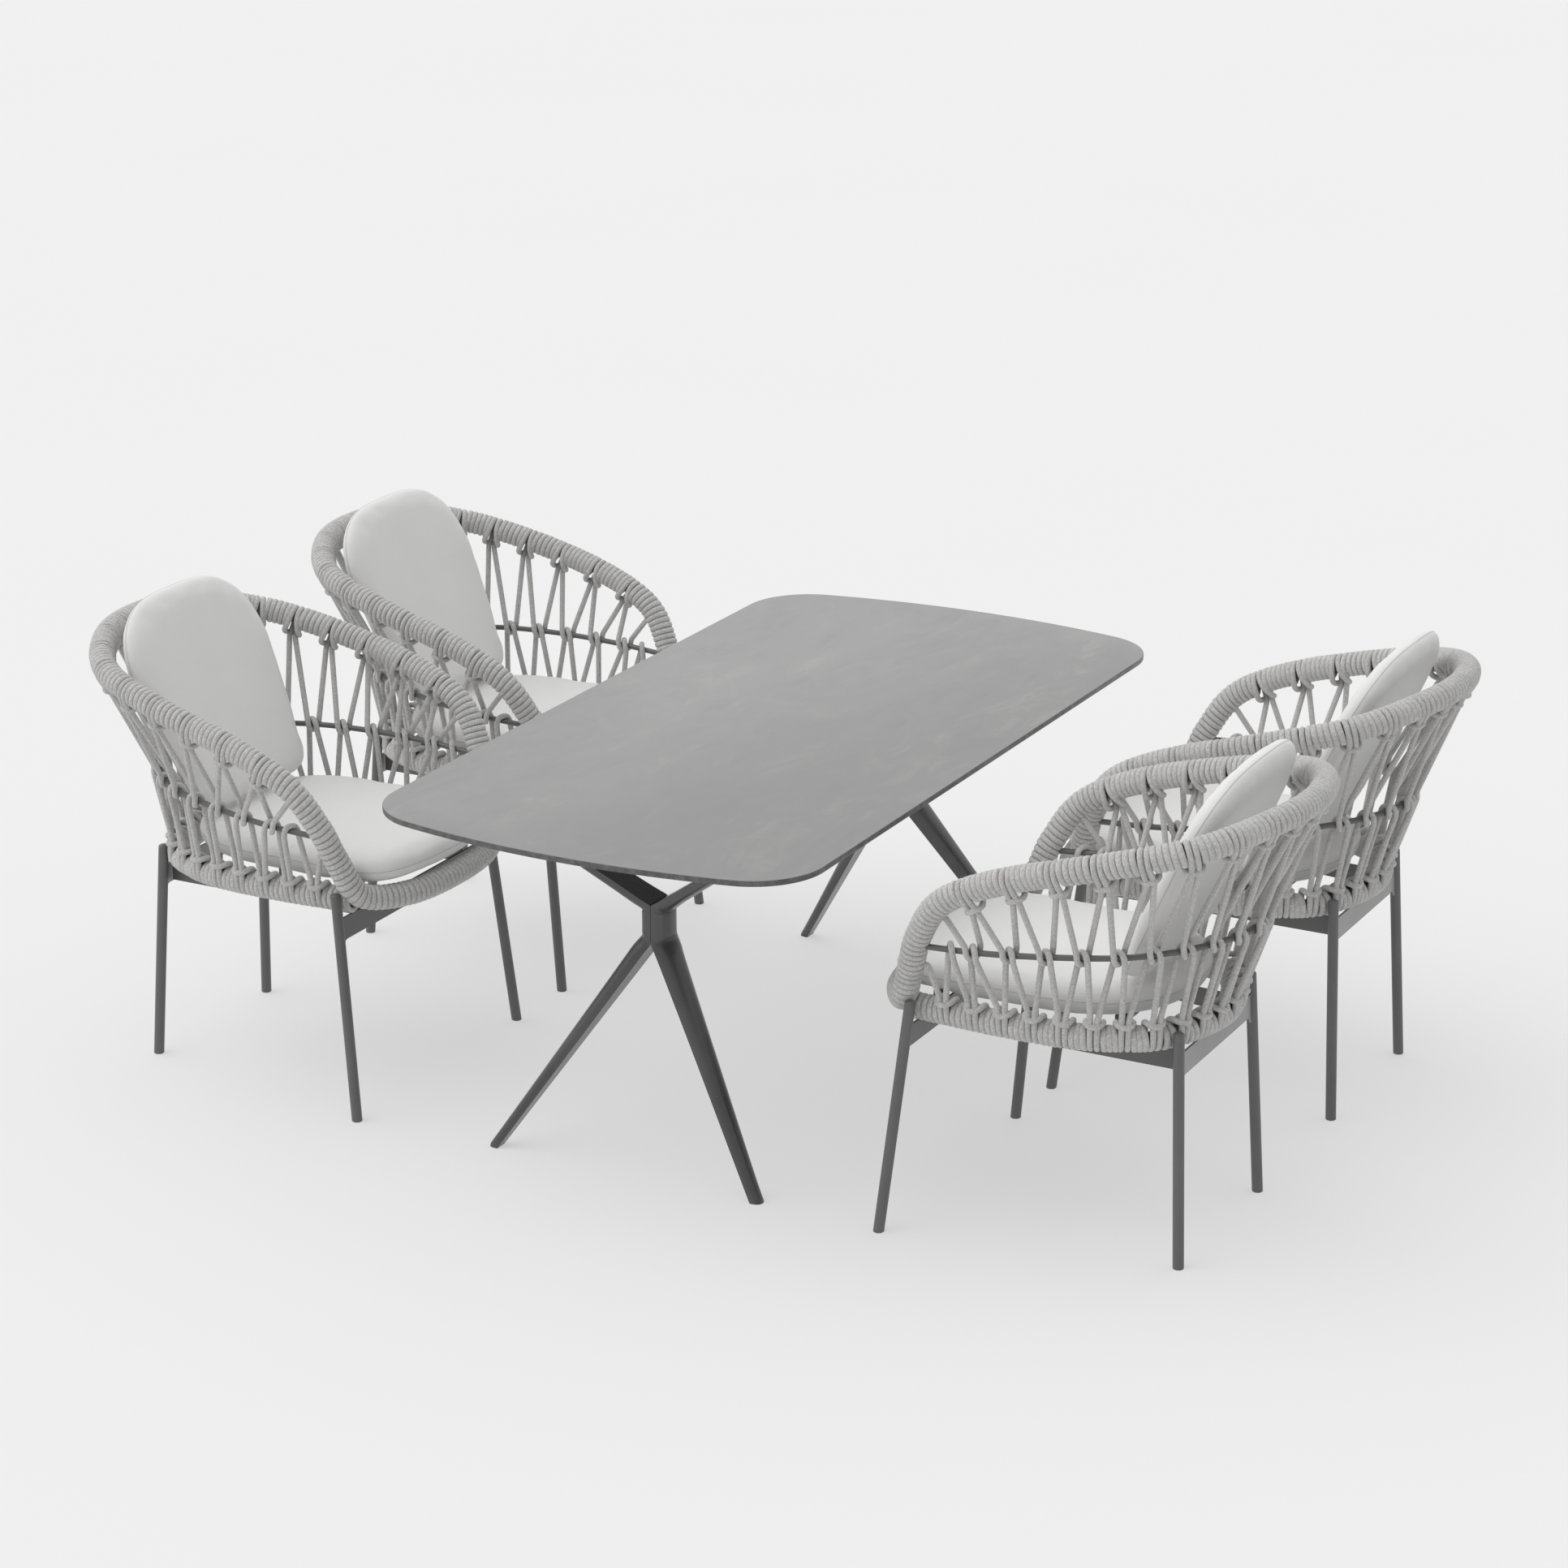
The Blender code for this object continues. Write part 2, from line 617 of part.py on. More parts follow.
def deck_mesh():
    """Two side rails from apron to apron, with upright tabs that carry the cross slats."""
    rail_top, slat_top = deck_levels()
    gap = APRON_THICKNESS / 2 + SIDE_RAIL_GAP
    front = apron_y(FRONT_FOOT, FRONT_LEG_TOP, rail_top) - gap
    rear = apron_y(REAR_FOOT, REAR_LEG_TOP, rail_top) + gap
    rear_x = SIDE_RAIL_X - SIDE_RAIL_TAPER
    half = SIDE_RAIL_THICKNESS / 2
    slat_low = slat_top - SIDE_RAIL_THICKNESS
    tab_low = rail_top - SIDE_RAIL_FRONT_HEIGHT + half
    rear_inset, front_inset = DECK_SLAT_INSETS
    slat_ys = np.linspace(SEAT_CUSHION_REAR + rear_inset, SEAT_CUSHION_FRONT - front_inset, DECK_SLATS)

    def rail_x(y):
        return rear_x + (SIDE_RAIL_X - rear_x) * (y - rear) / (front - rear)

    solids = []
    for sign in (-1, 1):
        bm = bmesh.new()
        rings = []
        for y, height in ((rear, SIDE_RAIL_REAR_HEIGHT), (front, SIDE_RAIL_FRONT_HEIGHT)):
            x = sign * rail_x(y)
            low = rail_top - height
            rings.append([(x - half, y, low), (x + half, y, low),
                          (x + half, y, rail_top), (x - half, y, rail_top)])
        loft(bm, rings)
        solids.append(mesh_from(bm, "side_rail", smooth=False))
    for y in slat_ys:
        reach = rail_x(y) + half
        bm = bmesh.new()
        wide = DECK_SLAT_WIDTH / 2
        inner = reach - half * 2
        profile = [(-reach, tab_low), (-inner, tab_low), (-inner, slat_low), (inner, slat_low),
                   (inner, tab_low), (reach, tab_low), (reach, slat_top), (-reach, slat_top)]
        loft(bm, [[(x, y + side * wide, z) for x, z in profile] for side in (-1, 1)])
        solids.append(mesh_from(bm, "slat", smooth=False))
    return combined("seat_deck", solids[0], solids[2:] + solids[1:2], "UNION")


def seat_outline(grow):
    """The seat cushion's plan: a bowed front, straight sides and a round rear."""
    half = SEAT_CUSHION_HALF_WIDTH + grow
    front = SEAT_CUSHION_FRONT + grow
    rear = SEAT_CUSHION_REAR - grow
    side = [
        (0.0, front), (half * 0.55, front - 0.010), (half * 0.86, front - 0.034),
        (half, front - 0.090), (half, 0.060), (half * 0.97, -0.060),
        (half * 0.80, rear + 0.075), (half * 0.45, rear + 0.018), (0.0, rear),
    ]
    return side + [(-x, y) for x, y in reversed(side[1:-1])]


def seat_levels():
    low = SEAT_RAIL_HEIGHT + WRAP_RADIUS + CUSHION_GAP
    return low, low + SEAT_CUSHION_THICKNESS


def webbing_mesh():
    top = SEAT_RAIL_HEIGHT + WRAP_RADIUS
    bm = bmesh.new()
    loft(bm, [[(x, y, z) for x, y in seat_outline(-WEBBING_INSET)] for z in (top - WEBBING_THICKNESS, top)])
    return mesh_from(bm, "seat_webbing", smooth=False)


def seat_cushion_mesh():
    low, high = seat_levels()
    thick = high - low
    levels = ((0.0, -0.020), (0.16, -0.004), (0.5, 0.0), (0.84, -0.005), (1.0, -0.024))
    bm = bmesh.new()
    loft(bm, [[(x, y, low + share * thick) for x, y in seat_outline(grow)] for share, grow in levels])
    return mesh_from(bm, "seat_cushion")


def back_outline(grow):
    """The back cushion's face: a narrow foot with round corners, widening to a full round top."""
    foot = BACK_CUSHION_FOOT_HALF_WIDTH + grow
    wide = BACK_CUSHION_HALF_WIDTH + grow
    low = -grow
    high = BACK_CUSHION_HEIGHT + grow
    side = [
        (0.0, low), (foot * 0.74, low), (foot * 0.95, low + 0.028), (foot, low + 0.075),
        (wide * 0.98, high * 0.55), (wide * 0.985, high * 0.72), (wide * 0.86, high * 0.87),
        (wide * 0.60, high * 0.965), (wide * 0.30, high * 0.995), (0.0, high),
    ]
    return side + [(-x, z) for x, z in reversed(side[1:-1])]


def back_cushion_mesh():
    """The back cushion, leaning back from its foot, which rests on the seat cushion."""
    half = BACK_CUSHION_THICKNESS / 2
    lean = BACK_CUSHION_LEAN
    lift = seat_levels()[1] + CUSHION_GAP + half * math.sin(lean)
    foot_y = RAIL_REAR + BACK_CUSHION_CLEAR + (RAIL_REAR_HEIGHT - lift) * math.tan(lean)
    levels = ((-1.0, -0.020), (-0.7, -0.005), (0.0, 0.0), (0.7, -0.005), (1.0, -0.020))
    bm = bmesh.new()
    rings = []
    for share, grow in levels:
        ring = []
        for x, up in back_outline(grow):
            y = foot_y - up * math.sin(lean) + share * half * math.cos(lean)
            ring.append((x, y, lift + up * math.cos(lean) + share * half * math.sin(lean)))
        rings.append(ring)
    loft(bm, rings)
    return mesh_from(bm, "back_cushion")


def stations(first, last, count):
    """Distances from first to last that crowd a little towards the last, where the bays are narrower."""
    shares = np.linspace(0, 1, count)
    return [first + (last - first) * share * (1 + LACE_CROWDING * (1 - share)) for share in shares]


def both_sides(distances, length, centred):
    """The distances along one side, then the mirrored ones; a centred last one is shared by both sides."""
    back = [length - distance for distance in reversed(distances)]
    return distances + (back[1:] if centred else back)


def outward_of(curve, t):
    """The level direction at t that points away from the middle of the chair."""
    level = unit(np.cross(heading(curve, t), (0.0, 0.0, 1.0)))
    return level if level.dot(curve(t) * np.array([1, 1, 0])) > 0 else -level


def lacing_path(hoop, start, edge, knots, rail, turns, edge_clear, above):
    """Corner points of a lacing that zigzags between an edge tube and the middle rail.

    It starts and ends on the hoop's front rises. Between two knots on the edge tube, the rope passes the
    rail on one face, turns round it and comes back past its other face. The chair's sides mirror each other.
    """
    behind = np.array([0.0, edge_clear + LACE_HALF_WIDTH * 1.5, 0.0])
    ends = [hoop(t) - behind for t in (start, 1 - start)]
    half = LACE_BAR_HALF / length_of(edge)
    faces = (LACE_RAIL_OUTSIDE, -UPPER_RAIL_INSIDE) if above else (-LOWER_RAIL_INSIDE, LACE_RAIL_OUTSIDE)
    past = np.array([0.0, 0.0, -LACE_RAIL_PAST if above else LACE_RAIL_PAST])

    def knot(index):
        t = knots[index]
        turn = turns[min(max(index, 0), len(turns) - 1)]
        point = edge(t)
        toward = rail(turn) - point
        toward = unit(toward - heading(edge, t) * toward.dot(heading(edge, t)))
        return [edge(t - half) + toward * edge_clear, edge(t + half) + toward * edge_clear]

    def turn_points(t, order):
        return [rail(t) + outward_of(rail, t) * face + past for face in order]

    path = [ends[0]]
    if not above:
        path += knot(0)
    for index, t in enumerate(turns):
        path += turn_points(t, faces if index < len(turns) / 2 else faces[::-1])
        if above and index + 1 < len(turns):
            path += knot(index)
        if not above:
            path += knot(index + 1)
    return path + [ends[1]]


def lacing_mesh(name, path):
    """A square rope swept along the corner points with mitred turns."""
    points = [np.array(point) for point in path]
    bm = bmesh.new()
    rings = []
    normal = None
    for index, point in enumerate(points):
        before = unit(point - points[index - 1]) if index > 0 else None
        after = unit(points[index + 1] - point) if index + 1 < len(points) else None
        if before is None:
            before = after
        if after is None:
            after = before
        plane = unit(before + after)
        if normal is None:
            normal = unit(np.cross(before, (1.0, 0.0, 0.0)))
        across = unit(np.cross(before, normal))
        normal = unit(np.cross(across, before))
        ring = []
        for a, b in ((1, 1), (1, -1), (-1, -1), (-1, 1)):
            corner = point + LACE_HALF_WIDTH * (a * normal + b * across)
            ring.append(corner - before * ((corner - point).dot(plane) / before.dot(plane)))
        rings.append(ring)
        turn = np.cross(before, after)
        size = np.linalg.norm(turn)
        if size > 1e-6:
            axis = turn / size
            angle = math.atan2(size, before.dot(after))
            normal = (normal * math.cos(angle) + np.cross(axis, normal) * math.sin(angle)
                      + axis * axis.dot(normal) * (1 - math.cos(angle)))
    loft(bm, rings)
    return mesh_from(bm, name, smooth=False)


def chair_meshes():
    """Every chair piece's mesh and material, in the chair's own frame."""
    hoop = hoop_curve()
    ring = ring_curve()
    rail = rail_curve()
    bore = (TUBE_RADIUS + FIT_GAP) / math.cos(math.pi / WRAP_SIDES)

    hoop_ts = bend_steps(hoop, 0.0, 1.0)
    bm = bmesh.new()
    loft(bm, tube_rings(hoop, hoop_ts[:-1], TUBE_RADIUS, TUBE_SIDES), joined=True)
    hoop_tube = mesh_from(bm, "hoop_tube")

    ring_start = clear_start(ring, hoop, 2 * TUBE_RADIUS + TUBE_CLEARANCE)
    sleeve_start = clear_start(ring, hoop, 2 * WRAP_RADIUS + TUBE_CLEARANCE)
    sleeve_ts = bend_steps(ring, sleeve_start, 1 - sleeve_start)
    ring_ts = [ring_start, *sleeve_ts, 1 - ring_start]
    seat_ring_tube = tube_mesh("seat_ring_tube", ring, ring_ts, TUBE_RADIUS, TUBE_SIDES)

    rail_start = clear_start(rail, hoop, TUBE_RADIUS + RAIL_END_CLEARANCE)
    rail_ts = bend_steps(rail, rail_start, 1 - rail_start)
    middle_rail = tube_mesh("middle_rail", rail, rail_ts, MIDDLE_RAIL_RADIUS, TUBE_SIDES)

    slit = WRAP_SLIT / 2
    slit_ts = [slit, *hoop_ts[1:-1], 1 - slit]
    hoop_sleeve = sleeve_mesh("hoop_wrap", hoop, slit_ts, WRAP_RADIUS, bore, WRAP_SIDES)
    rail_bore = (MIDDLE_RAIL_RADIUS + FIT_GAP) / math.cos(math.pi / WRAP_SIDES)
    ring_end, rail_end = ring_start - CUTTER_REACH, rail_start - CUTTER_REACH
    cutters = [
        tube_mesh("cutter", ring, [ring_end, sleeve_start, sleeve_ts[1]], bore, WRAP_SIDES),
        tube_mesh("cutter", ring, [sleeve_ts[-2], 1 - sleeve_start, 1 - ring_end], bore, WRAP_SIDES),
        tube_mesh("cutter", rail, [rail_end, rail_ts[1]], rail_bore, WRAP_SIDES),
        tube_mesh("cutter", rail, [rail_ts[-2], 1 - rail_end], rail_bore, WRAP_SIDES),
    ]
    front_cutters = [leg_mesh("cutter", FRONT_FOOT, FRONT_LEG_TOP, sign, LEG_GAP) for sign in (1, -1)]
    rear_cutters = [leg_mesh("cutter", REAR_FOOT, REAR_LEG_TOP, sign, LEG_GAP) for sign in (1, -1)]
    hoop_wrap = combined("hoop_wrap", hoop_sleeve, cutters + front_cutters, "DIFFERENCE")

    ring_sleeve = sleeve_mesh("seat_ring_wrap", ring, sleeve_ts, WRAP_RADIUS, bore, WRAP_SIDES)
    seat_ring_wrap = combined("seat_ring_wrap", ring_sleeve, front_cutters + rear_cutters, "DIFFERENCE")

    edge_clear = WRAP_RADIUS + LACE_HALF_WIDTH * 1.5 + 6 * FIT_GAP
    hoop_length, rail_length, ring_length = (length_of(curve) for curve in (hoop, rail, ring))
    turns = stations(RAIL_TURN_FIRST, rail_length / 2 - RAIL_TURN_LAST, UPPER_BAYS)
    upper_turns = [turn - LACE_LINK_SHIFT / 4 for turn in turns]
    lower_turns = [LOWER_TURN_FIRST] + [turn + LACE_LINK_SHIFT * 3 / 4 for turn in turns]
    upper_knots = stations(HOOP_KNOT_FIRST, hoop_length / 2, UPPER_BAYS)
    lower_knots = stations(RING_KNOT_FIRST, ring_length / 2, UPPER_BAYS + 2)

    def shares(distances, length, centred):
        return [distance / length for distance in both_sides(distances, length, centred)]

    upper = lacing_path(hoop, UPPER_START / hoop_length, hoop, shares(upper_knots, hoop_length, True),
                        rail, shares(upper_turns, rail_length, False), edge_clear, above=True)
    lower = lacing_path(hoop, LOWER_START / hoop_length, ring, shares(lower_knots, ring_length, True),
                        rail, shares(lower_turns, rail_length, False), edge_clear, above=False)

    return {
        "hoop_tube": (hoop_tube, "coated_metal"),
        "hoop_wrap": (hoop_wrap, "rope"),
        "seat_ring_tube": (seat_ring_tube, "coated_metal"),
        "seat_ring_wrap": (seat_ring_wrap, "rope"),
        "middle_rail": (middle_rail, "coated_metal"),
        "upper_lacing": (lacing_mesh("upper_lacing", upper), "rope"),
        "lower_lacing": (lacing_mesh("lower_lacing", lower), "rope"),
        "front_leg_frame": (leg_frame_mesh("front_leg_frame", FRONT_FOOT, FRONT_LEG_TOP), "coated_metal"),
        "rear_leg_frame": (leg_frame_mesh("rear_leg_frame", REAR_FOOT, REAR_LEG_TOP), "coated_metal"),
        "seat_deck": (deck_mesh(), "coated_metal"),
        "seat_webbing": (webbing_mesh(), "webbing"),
        "seat_cushion": (seat_cushion_mesh(), "cushion_fabric"),
        "back_cushion": (back_cushion_mesh(), "cushion_fabric"),
    }


def main():
    clear_scene()
    make_materials()
    rear_lines = [abs(y) + CHAIR_REACH for _, y in CHAIR_PLACES.values()]
    left_reach = max(reach for reach, (_, y) in zip(rear_lines, CHAIR_PLACES.values()) if y > 0)
    right_reach = max(reach for reach, (_, y) in zip(rear_lines, CHAIR_PLACES.values()) if y < 0)
    middle = (right_reach - left_reach) / 2
    build_table(empty_at("table", 0.0, middle, 0.0))
    meshes = chair_meshes()
    for chair, (x, y) in CHAIR_PLACES.items():
        empty = empty_at(chair, x, y + middle, math.pi if y > 0 else 0.0)
        for piece, (mesh, material) in meshes.items():
            place(f"{chair}_{piece}", mesh, material, empty)


main()
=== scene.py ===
"""The looks of a garden dining set: a stone-topped table and four rope armchairs with loose cushions.

Metres, +Z up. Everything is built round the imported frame, whose nodes give the places. A chair's pieces are
made once in the chair's own frame (origin on the ground between its legs, +Y to its front, +X to one side)
and shared by the four chairs. Curves are followed by the distance along them.
"""

import logging
import math
from dataclasses import dataclass, field
from enum import Enum
from typing import Callable, Sequence

import bmesh
import bpy
import numpy as np
from mathutils import Matrix, Vector
from mathutils.bvhtree import BVHTree


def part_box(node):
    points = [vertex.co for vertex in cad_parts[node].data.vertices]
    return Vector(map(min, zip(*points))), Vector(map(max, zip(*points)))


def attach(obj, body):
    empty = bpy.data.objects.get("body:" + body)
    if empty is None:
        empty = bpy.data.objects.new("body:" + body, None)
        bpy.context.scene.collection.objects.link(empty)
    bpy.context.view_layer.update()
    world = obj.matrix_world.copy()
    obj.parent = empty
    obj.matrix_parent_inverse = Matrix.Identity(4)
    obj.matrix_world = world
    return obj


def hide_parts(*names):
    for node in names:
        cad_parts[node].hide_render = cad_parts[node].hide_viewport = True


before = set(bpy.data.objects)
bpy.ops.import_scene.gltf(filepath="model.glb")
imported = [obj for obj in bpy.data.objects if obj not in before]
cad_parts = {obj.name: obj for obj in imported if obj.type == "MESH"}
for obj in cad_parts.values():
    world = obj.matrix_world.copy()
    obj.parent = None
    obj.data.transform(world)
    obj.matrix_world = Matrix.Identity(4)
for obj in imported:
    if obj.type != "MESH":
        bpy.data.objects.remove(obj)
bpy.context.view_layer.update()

LOG = logging.getLogger("dining_set")
UV_LAYER = "lay"
ROPE_NODES = ("hoop_wrap", "seat_ring_wrap", "upper_lacing", "lower_lacing")
FAR_OFF = 9.0  # metres, past everything in the set


class Facing(Enum):
    """Which way a chair faces, as the turn of its own frame about the vertical."""

    PLUS_Y = 0.0
    MINUS_Y = math.pi


class Side(Enum):
    """The face of the middle rail that a rope passes."""

    OUTSIDE = 1.0
    INSIDE = -1.0


# ---------------------------------------------------------------- finishes


class Shading:
    """A material's node tree, with short calls that add nodes and join them."""

    def __init__(self, name: str) -> None:
        """Starts a material with one Principled shader.

        Args:
            name: the material's name.
        """
        self.material = bpy.data.materials.new(name)
        self.material.use_nodes = True
        self.nodes = self.material.node_tree.nodes
        self.links = self.material.node_tree.links
        self.shader = self.nodes["Principled BSDF"]

    def add(self, kind: str, **settings: object) -> bpy.types.Node:
        """Adds a node and sets its properties.

        Args:
            kind: the node's type.
            settings: property names and values.

        Returns:
            The new node.
        """
        node = self.nodes.new(kind)
        for name, value in settings.items():
            setattr(node, name, value)
        return node

    def feed(self, node: bpy.types.Node, **inputs: object) -> bpy.types.Node:
        """Sets a node's inputs, by link where the value is a socket.

        Args:
            node: the node to feed.
            inputs: input names, with _ for a space, and their values or sockets.

        Returns:
            The same node.
        """
        for name, value in inputs.items():
            socket = node.inputs[name.replace("_", " ")]
            if isinstance(value, bpy.types.NodeSocket):
                self.links.new(value, socket)
            else:
                socket.default_value = value
        return node

    def coordinates(self, kind: str, stretch: tuple[float, float, float] = (1.0, 1.0, 1.0),
                    turn: float = 0.0) -> bpy.types.NodeSocket:
        """The texture coordinates of one kind, scaled and turned about Z.

        Args:
            kind: "Object", or "UV" for the map made with the mesh.
            stretch: scale along each axis.
            turn: turn about Z in radians.

        Returns:
            The socket with the coordinates.
        """
        if kind == "UV":
            source = self.add("ShaderNodeUVMap", uv_map=UV_LAYER).outputs["UV"]
        else:
            source = self.add("ShaderNodeTexCoord").outputs[kind]
        mapping = self.feed(self.add("ShaderNodeMapping"), Vector=source, Scale=stretch,
                            Rotation=(0.0, 0.0, turn))
        return mapping.outputs["Vector"]

    def noise(self, where: bpy.types.NodeSocket, scale: float, detail: float = 4.0, rough: float = 0.55,
              twist: float = 0.0) -> bpy.types.NodeSocket:
        """A noise value in 0..1 at the coordinates.

        Args:
            where: the coordinates.
            scale: cycles per metre.
            detail: octaves.
            rough: how much the fine octaves count.
            twist: distortion.

        Returns:
            The value's socket.
        """
        node = self.feed(self.add("ShaderNodeTexNoise"), Vector=where, Scale=scale, Detail=detail,
                         Roughness=rough, Distortion=twist)
        return node.outputs["Fac"]

    def span(self, value: bpy.types.NodeSocket, low: float, high: float, to_low: float = 0.0,
             to_high: float = 1.0) -> bpy.types.NodeSocket:
        """A value mapped from one range to another and held inside it.

        Args:
            value: the value.
            low: what maps to to_low.
            high: what maps to to_high.
            to_low: the new range's start.
            to_high: the new range's end.

        Returns:
            The mapped value's socket.
        """
        node = self.feed(self.add("ShaderNodeMapRange"), Value=value, From_Min=low, From_Max=high,
                         To_Min=to_low, To_Max=to_high)
        return node.outputs["Result"]

    def blend(self, share: bpy.types.NodeSocket, first: Sequence[float], second: Sequence[float]
              ) -> bpy.types.NodeSocket:
        """A colour between two colours.

        Args:
            share: 0 gives the first colour and 1 the second.
            first: a grey-scale or RGB colour, or a socket.
            second: the same.

        Returns:
            The colour's socket.
        """
        node = self.add("ShaderNodeMix", data_type="RGBA")
        self.links.new(share, node.inputs["Factor"])
        for slot, colour in ((6, first), (7, second)):
            if isinstance(colour, bpy.types.NodeSocket):
                self.links.new(colour, node.inputs[slot])
            else:
                node.inputs[slot].default_value = (*colour, 1.0)
        return node.outputs[2]

    def bump(self, height: bpy.types.NodeSocket, depth: float, strength: float = 1.0,
             over: bpy.types.NodeSocket | None = None) -> bpy.types.NodeSocket:
        """A bumped normal.

        Args:
            height: the height in 0..1.
            depth: how high 1 stands, in metres.
            strength: how much of it shows.
            over: a normal to bump, or None for the surface's own.

        Returns:
            The normal's socket.
        """
        node = self.feed(self.add("ShaderNodeBump"), Height=height, Distance=depth, Strength=strength)
        if over is not None:
            self.links.new(over, node.inputs["Normal"])
        return node.outputs["Normal"]

    def finish(self, **inputs: object) -> bpy.types.Material:
        """Feeds the shader and returns the material."""
        self.feed(self.shader, **inputs)
        return self.material


def grey(level: float, warmth: float = 0.0) -> tuple[float, float, float]:
    """A near-neutral colour: its level, and how far red stands above blue."""
    return (level * (1 + warmth), level, level * (1 - warmth))


@dataclass(frozen=True)
class RopeFinish:
    """A fine braided polyester rope: slanting stitches, each a little lighter or darker than the next, with
    painted shade in the grooves between them.
    """

    name: str = "braided_rope"
    light: float = 0.74
    dark: float = 0.49
    stitch: float = 0.0030
    stitch_depth: float = 0.0006
    roughness: float = 0.88

    def build(self) -> bpy.types.Material:
        """Returns the material. It reads the distance along and around the rope from the mesh's map."""
        shading = Shading(self.name)
        lay = shading.coordinates("UV", (1 / self.stitch, 1 / self.stitch, 1.0), math.radians(45))
        # The brick mortar between the stitches is painted shade: the grooves are coloured darker than the
        # darkest stitch, as if in shadow.
        plait = shading.feed(
            shading.add("ShaderNodeTexBrick", offset=0.5), Vector=lay, Scale=1.0, Brick_Width=1.0,
            Row_Height=0.5, Mortar_Size=0.07, Mortar_Smooth=0.9, Color1=(*grey(self.light, 0.01), 1.0),
            Color2=(*grey(self.dark, 0.01), 1.0), Mortar=(*grey(self.dark * 0.62, 0.01), 1.0))
        worn = shading.noise(shading.coordinates("Object"), 9.0, 3.0)
        toned = shading.blend(shading.span(worn, 0.3, 0.7, 0.0, 0.16), plait.outputs["Color"],
                              grey(self.light * 0.9, 0.01))
        bead = shading.span(plait.outputs["Fac"], 0.0, 1.0, 1.0, 0.0)
        normal = shading.bump(bead, self.stitch_depth, 0.8)
        rough = shading.span(bead, 0.0, 1.0, 0.97, self.roughness)
        return shading.finish(Base_Color=toned, Roughness=rough, Normal=normal, Sheen_Weight=0.2,
                              Sheen_Roughness=0.6)


@dataclass(frozen=True)
class StoneFinish:
    """A honed slab with soft cloudy drifts along its length and a fine tooth."""

    name: str = "honed_slab"
    base: float = 0.252
    drift: float = 0.345
    roughness: float = 0.36
    edge: bool = False

    def build(self) -> bpy.types.Material:
        """Returns the material; on the cut edge it is darker and mottled."""
        shading = Shading(self.name)
        place = shading.coordinates("Object", (1.0, 2.6, 1.0), math.radians(24))
        wide = shading.noise(place, 1.7, 6.0, 0.62, 1.1)
        patch = shading.noise(place, 4.6, 8.0, 0.68, 1.6)
        clouds = shading.add("ShaderNodeMath", operation="MULTIPLY")
        shading.links.new(shading.span(wide, 0.46, 0.66), clouds.inputs[0])
        shading.links.new(shading.span(patch, 0.44, 0.72), clouds.inputs[1])
        tooth = shading.noise(shading.coordinates("Object"), 420.0, 3.0, 0.6)
        base = shading.blend(clouds.outputs[0], grey(self.base), grey(self.drift, 0.02))
        specks = shading.blend(shading.span(tooth, 0.25, 0.75, 0.0, 0.10), base, grey(self.base * 0.6))
        colour = specks
        if self.edge:
            mottle = shading.noise(shading.coordinates("Object"), 55.0, 6.0, 0.7)
            colour = shading.blend(shading.span(mottle, 0.40, 0.68), grey(self.base * 0.33),
                                   grey(self.base * 0.62))
        rough = shading.span(patch, 0.3, 0.75, self.roughness, self.roughness + 0.12)
        normal = shading.bump(tooth, 0.00004, 0.6)
        return shading.finish(Base_Color=colour, Roughness=rough, Normal=normal, Specular_IOR_Level=0.45)


@dataclass(frozen=True)
class MetalFinish:
    """Coated metal: a base tone with faint unevenness, an orange-peel skin and a fine powder grain."""

    name: str
    level: float
    roughness: float
    peel_scale: float
    grain: float
    metal: float = 0.0

    def build(self) -> bpy.types.Material:
        """Returns the material."""
        shading = Shading(self.name)
        place = shading.coordinates("Object")
        peel = shading.noise(place, self.peel_scale, 2.0, 0.5)
        speck = shading.noise(place, 1400.0, 2.0, 0.7)
        drift = shading.noise(place, 7.0, 4.0, 0.6)
        tone = shading.blend(shading.span(drift, 0.3, 0.7), grey(self.level * 0.90), grey(self.level * 1.12))
        fleck = shading.blend(shading.span(speck, 0.55, 0.80, 0.0, self.grain), tone, grey(self.level * 2.2))
        rough = shading.span(drift, 0.25, 0.75, self.roughness - 0.04, self.roughness + 0.07)
        skin = shading.bump(peel, 0.00002, 0.4)
        normal = shading.bump(speck, 0.00001, 0.4, skin)
        return shading.finish(Base_Color=fleck, Roughness=rough, Normal=normal, Metallic=self.metal,
                              Specular_IOR_Level=0.5)


@dataclass(frozen=True)
class ClothFinish:
    """Plain-woven outdoor cloth with a soft slubby look, or a coarse band when made so."""

    name: str
    light: float
    dark: float
    thread: float
    depth: float
    slub: float = 0.5

    def build(self) -> bpy.types.Material:
        """Returns the material. The weave runs in the object's own space, so it needs no map."""
        shading = Shading(self.name)
        place = shading.coordinates("Object")
        weave = shading.feed(shading.add("ShaderNodeTexVoronoi"), Vector=place, Scale=1 / self.thread,
                             Randomness=0.45)
        bead = shading.span(weave.outputs["Distance"], 0.0, 0.75, 1.0, 0.0)
        slubs = shading.noise(shading.coordinates("Object", (1.0, 5.0, 1.0)), 120.0, 4.0, 0.6)
        mottle = shading.noise(place, 9.0, 4.0, 0.6)
        tone = shading.blend(shading.span(slubs, 0.3, 0.7, 0.0, self.slub), grey(self.light, 0.006),
                             grey(self.dark, 0.006))
        colour = shading.blend(shading.span(mottle, 0.35, 0.7, 0.0, 0.22), tone,
                               grey(self.dark * 0.96, 0.006))
        creases = shading.noise(place, 16.0, 5.0, 0.6, 0.6)
        soft = shading.bump(creases, 0.0016, 0.35)
        normal = shading.bump(bead, self.depth, 0.55, soft)
        rough = shading.span(bead, 0.0, 1.0, 0.98, 0.86)
        return shading.finish(Base_Color=colour, Roughness=rough, Normal=normal, Sheen_Weight=0.30,
                              Sheen_Roughness=0.5)


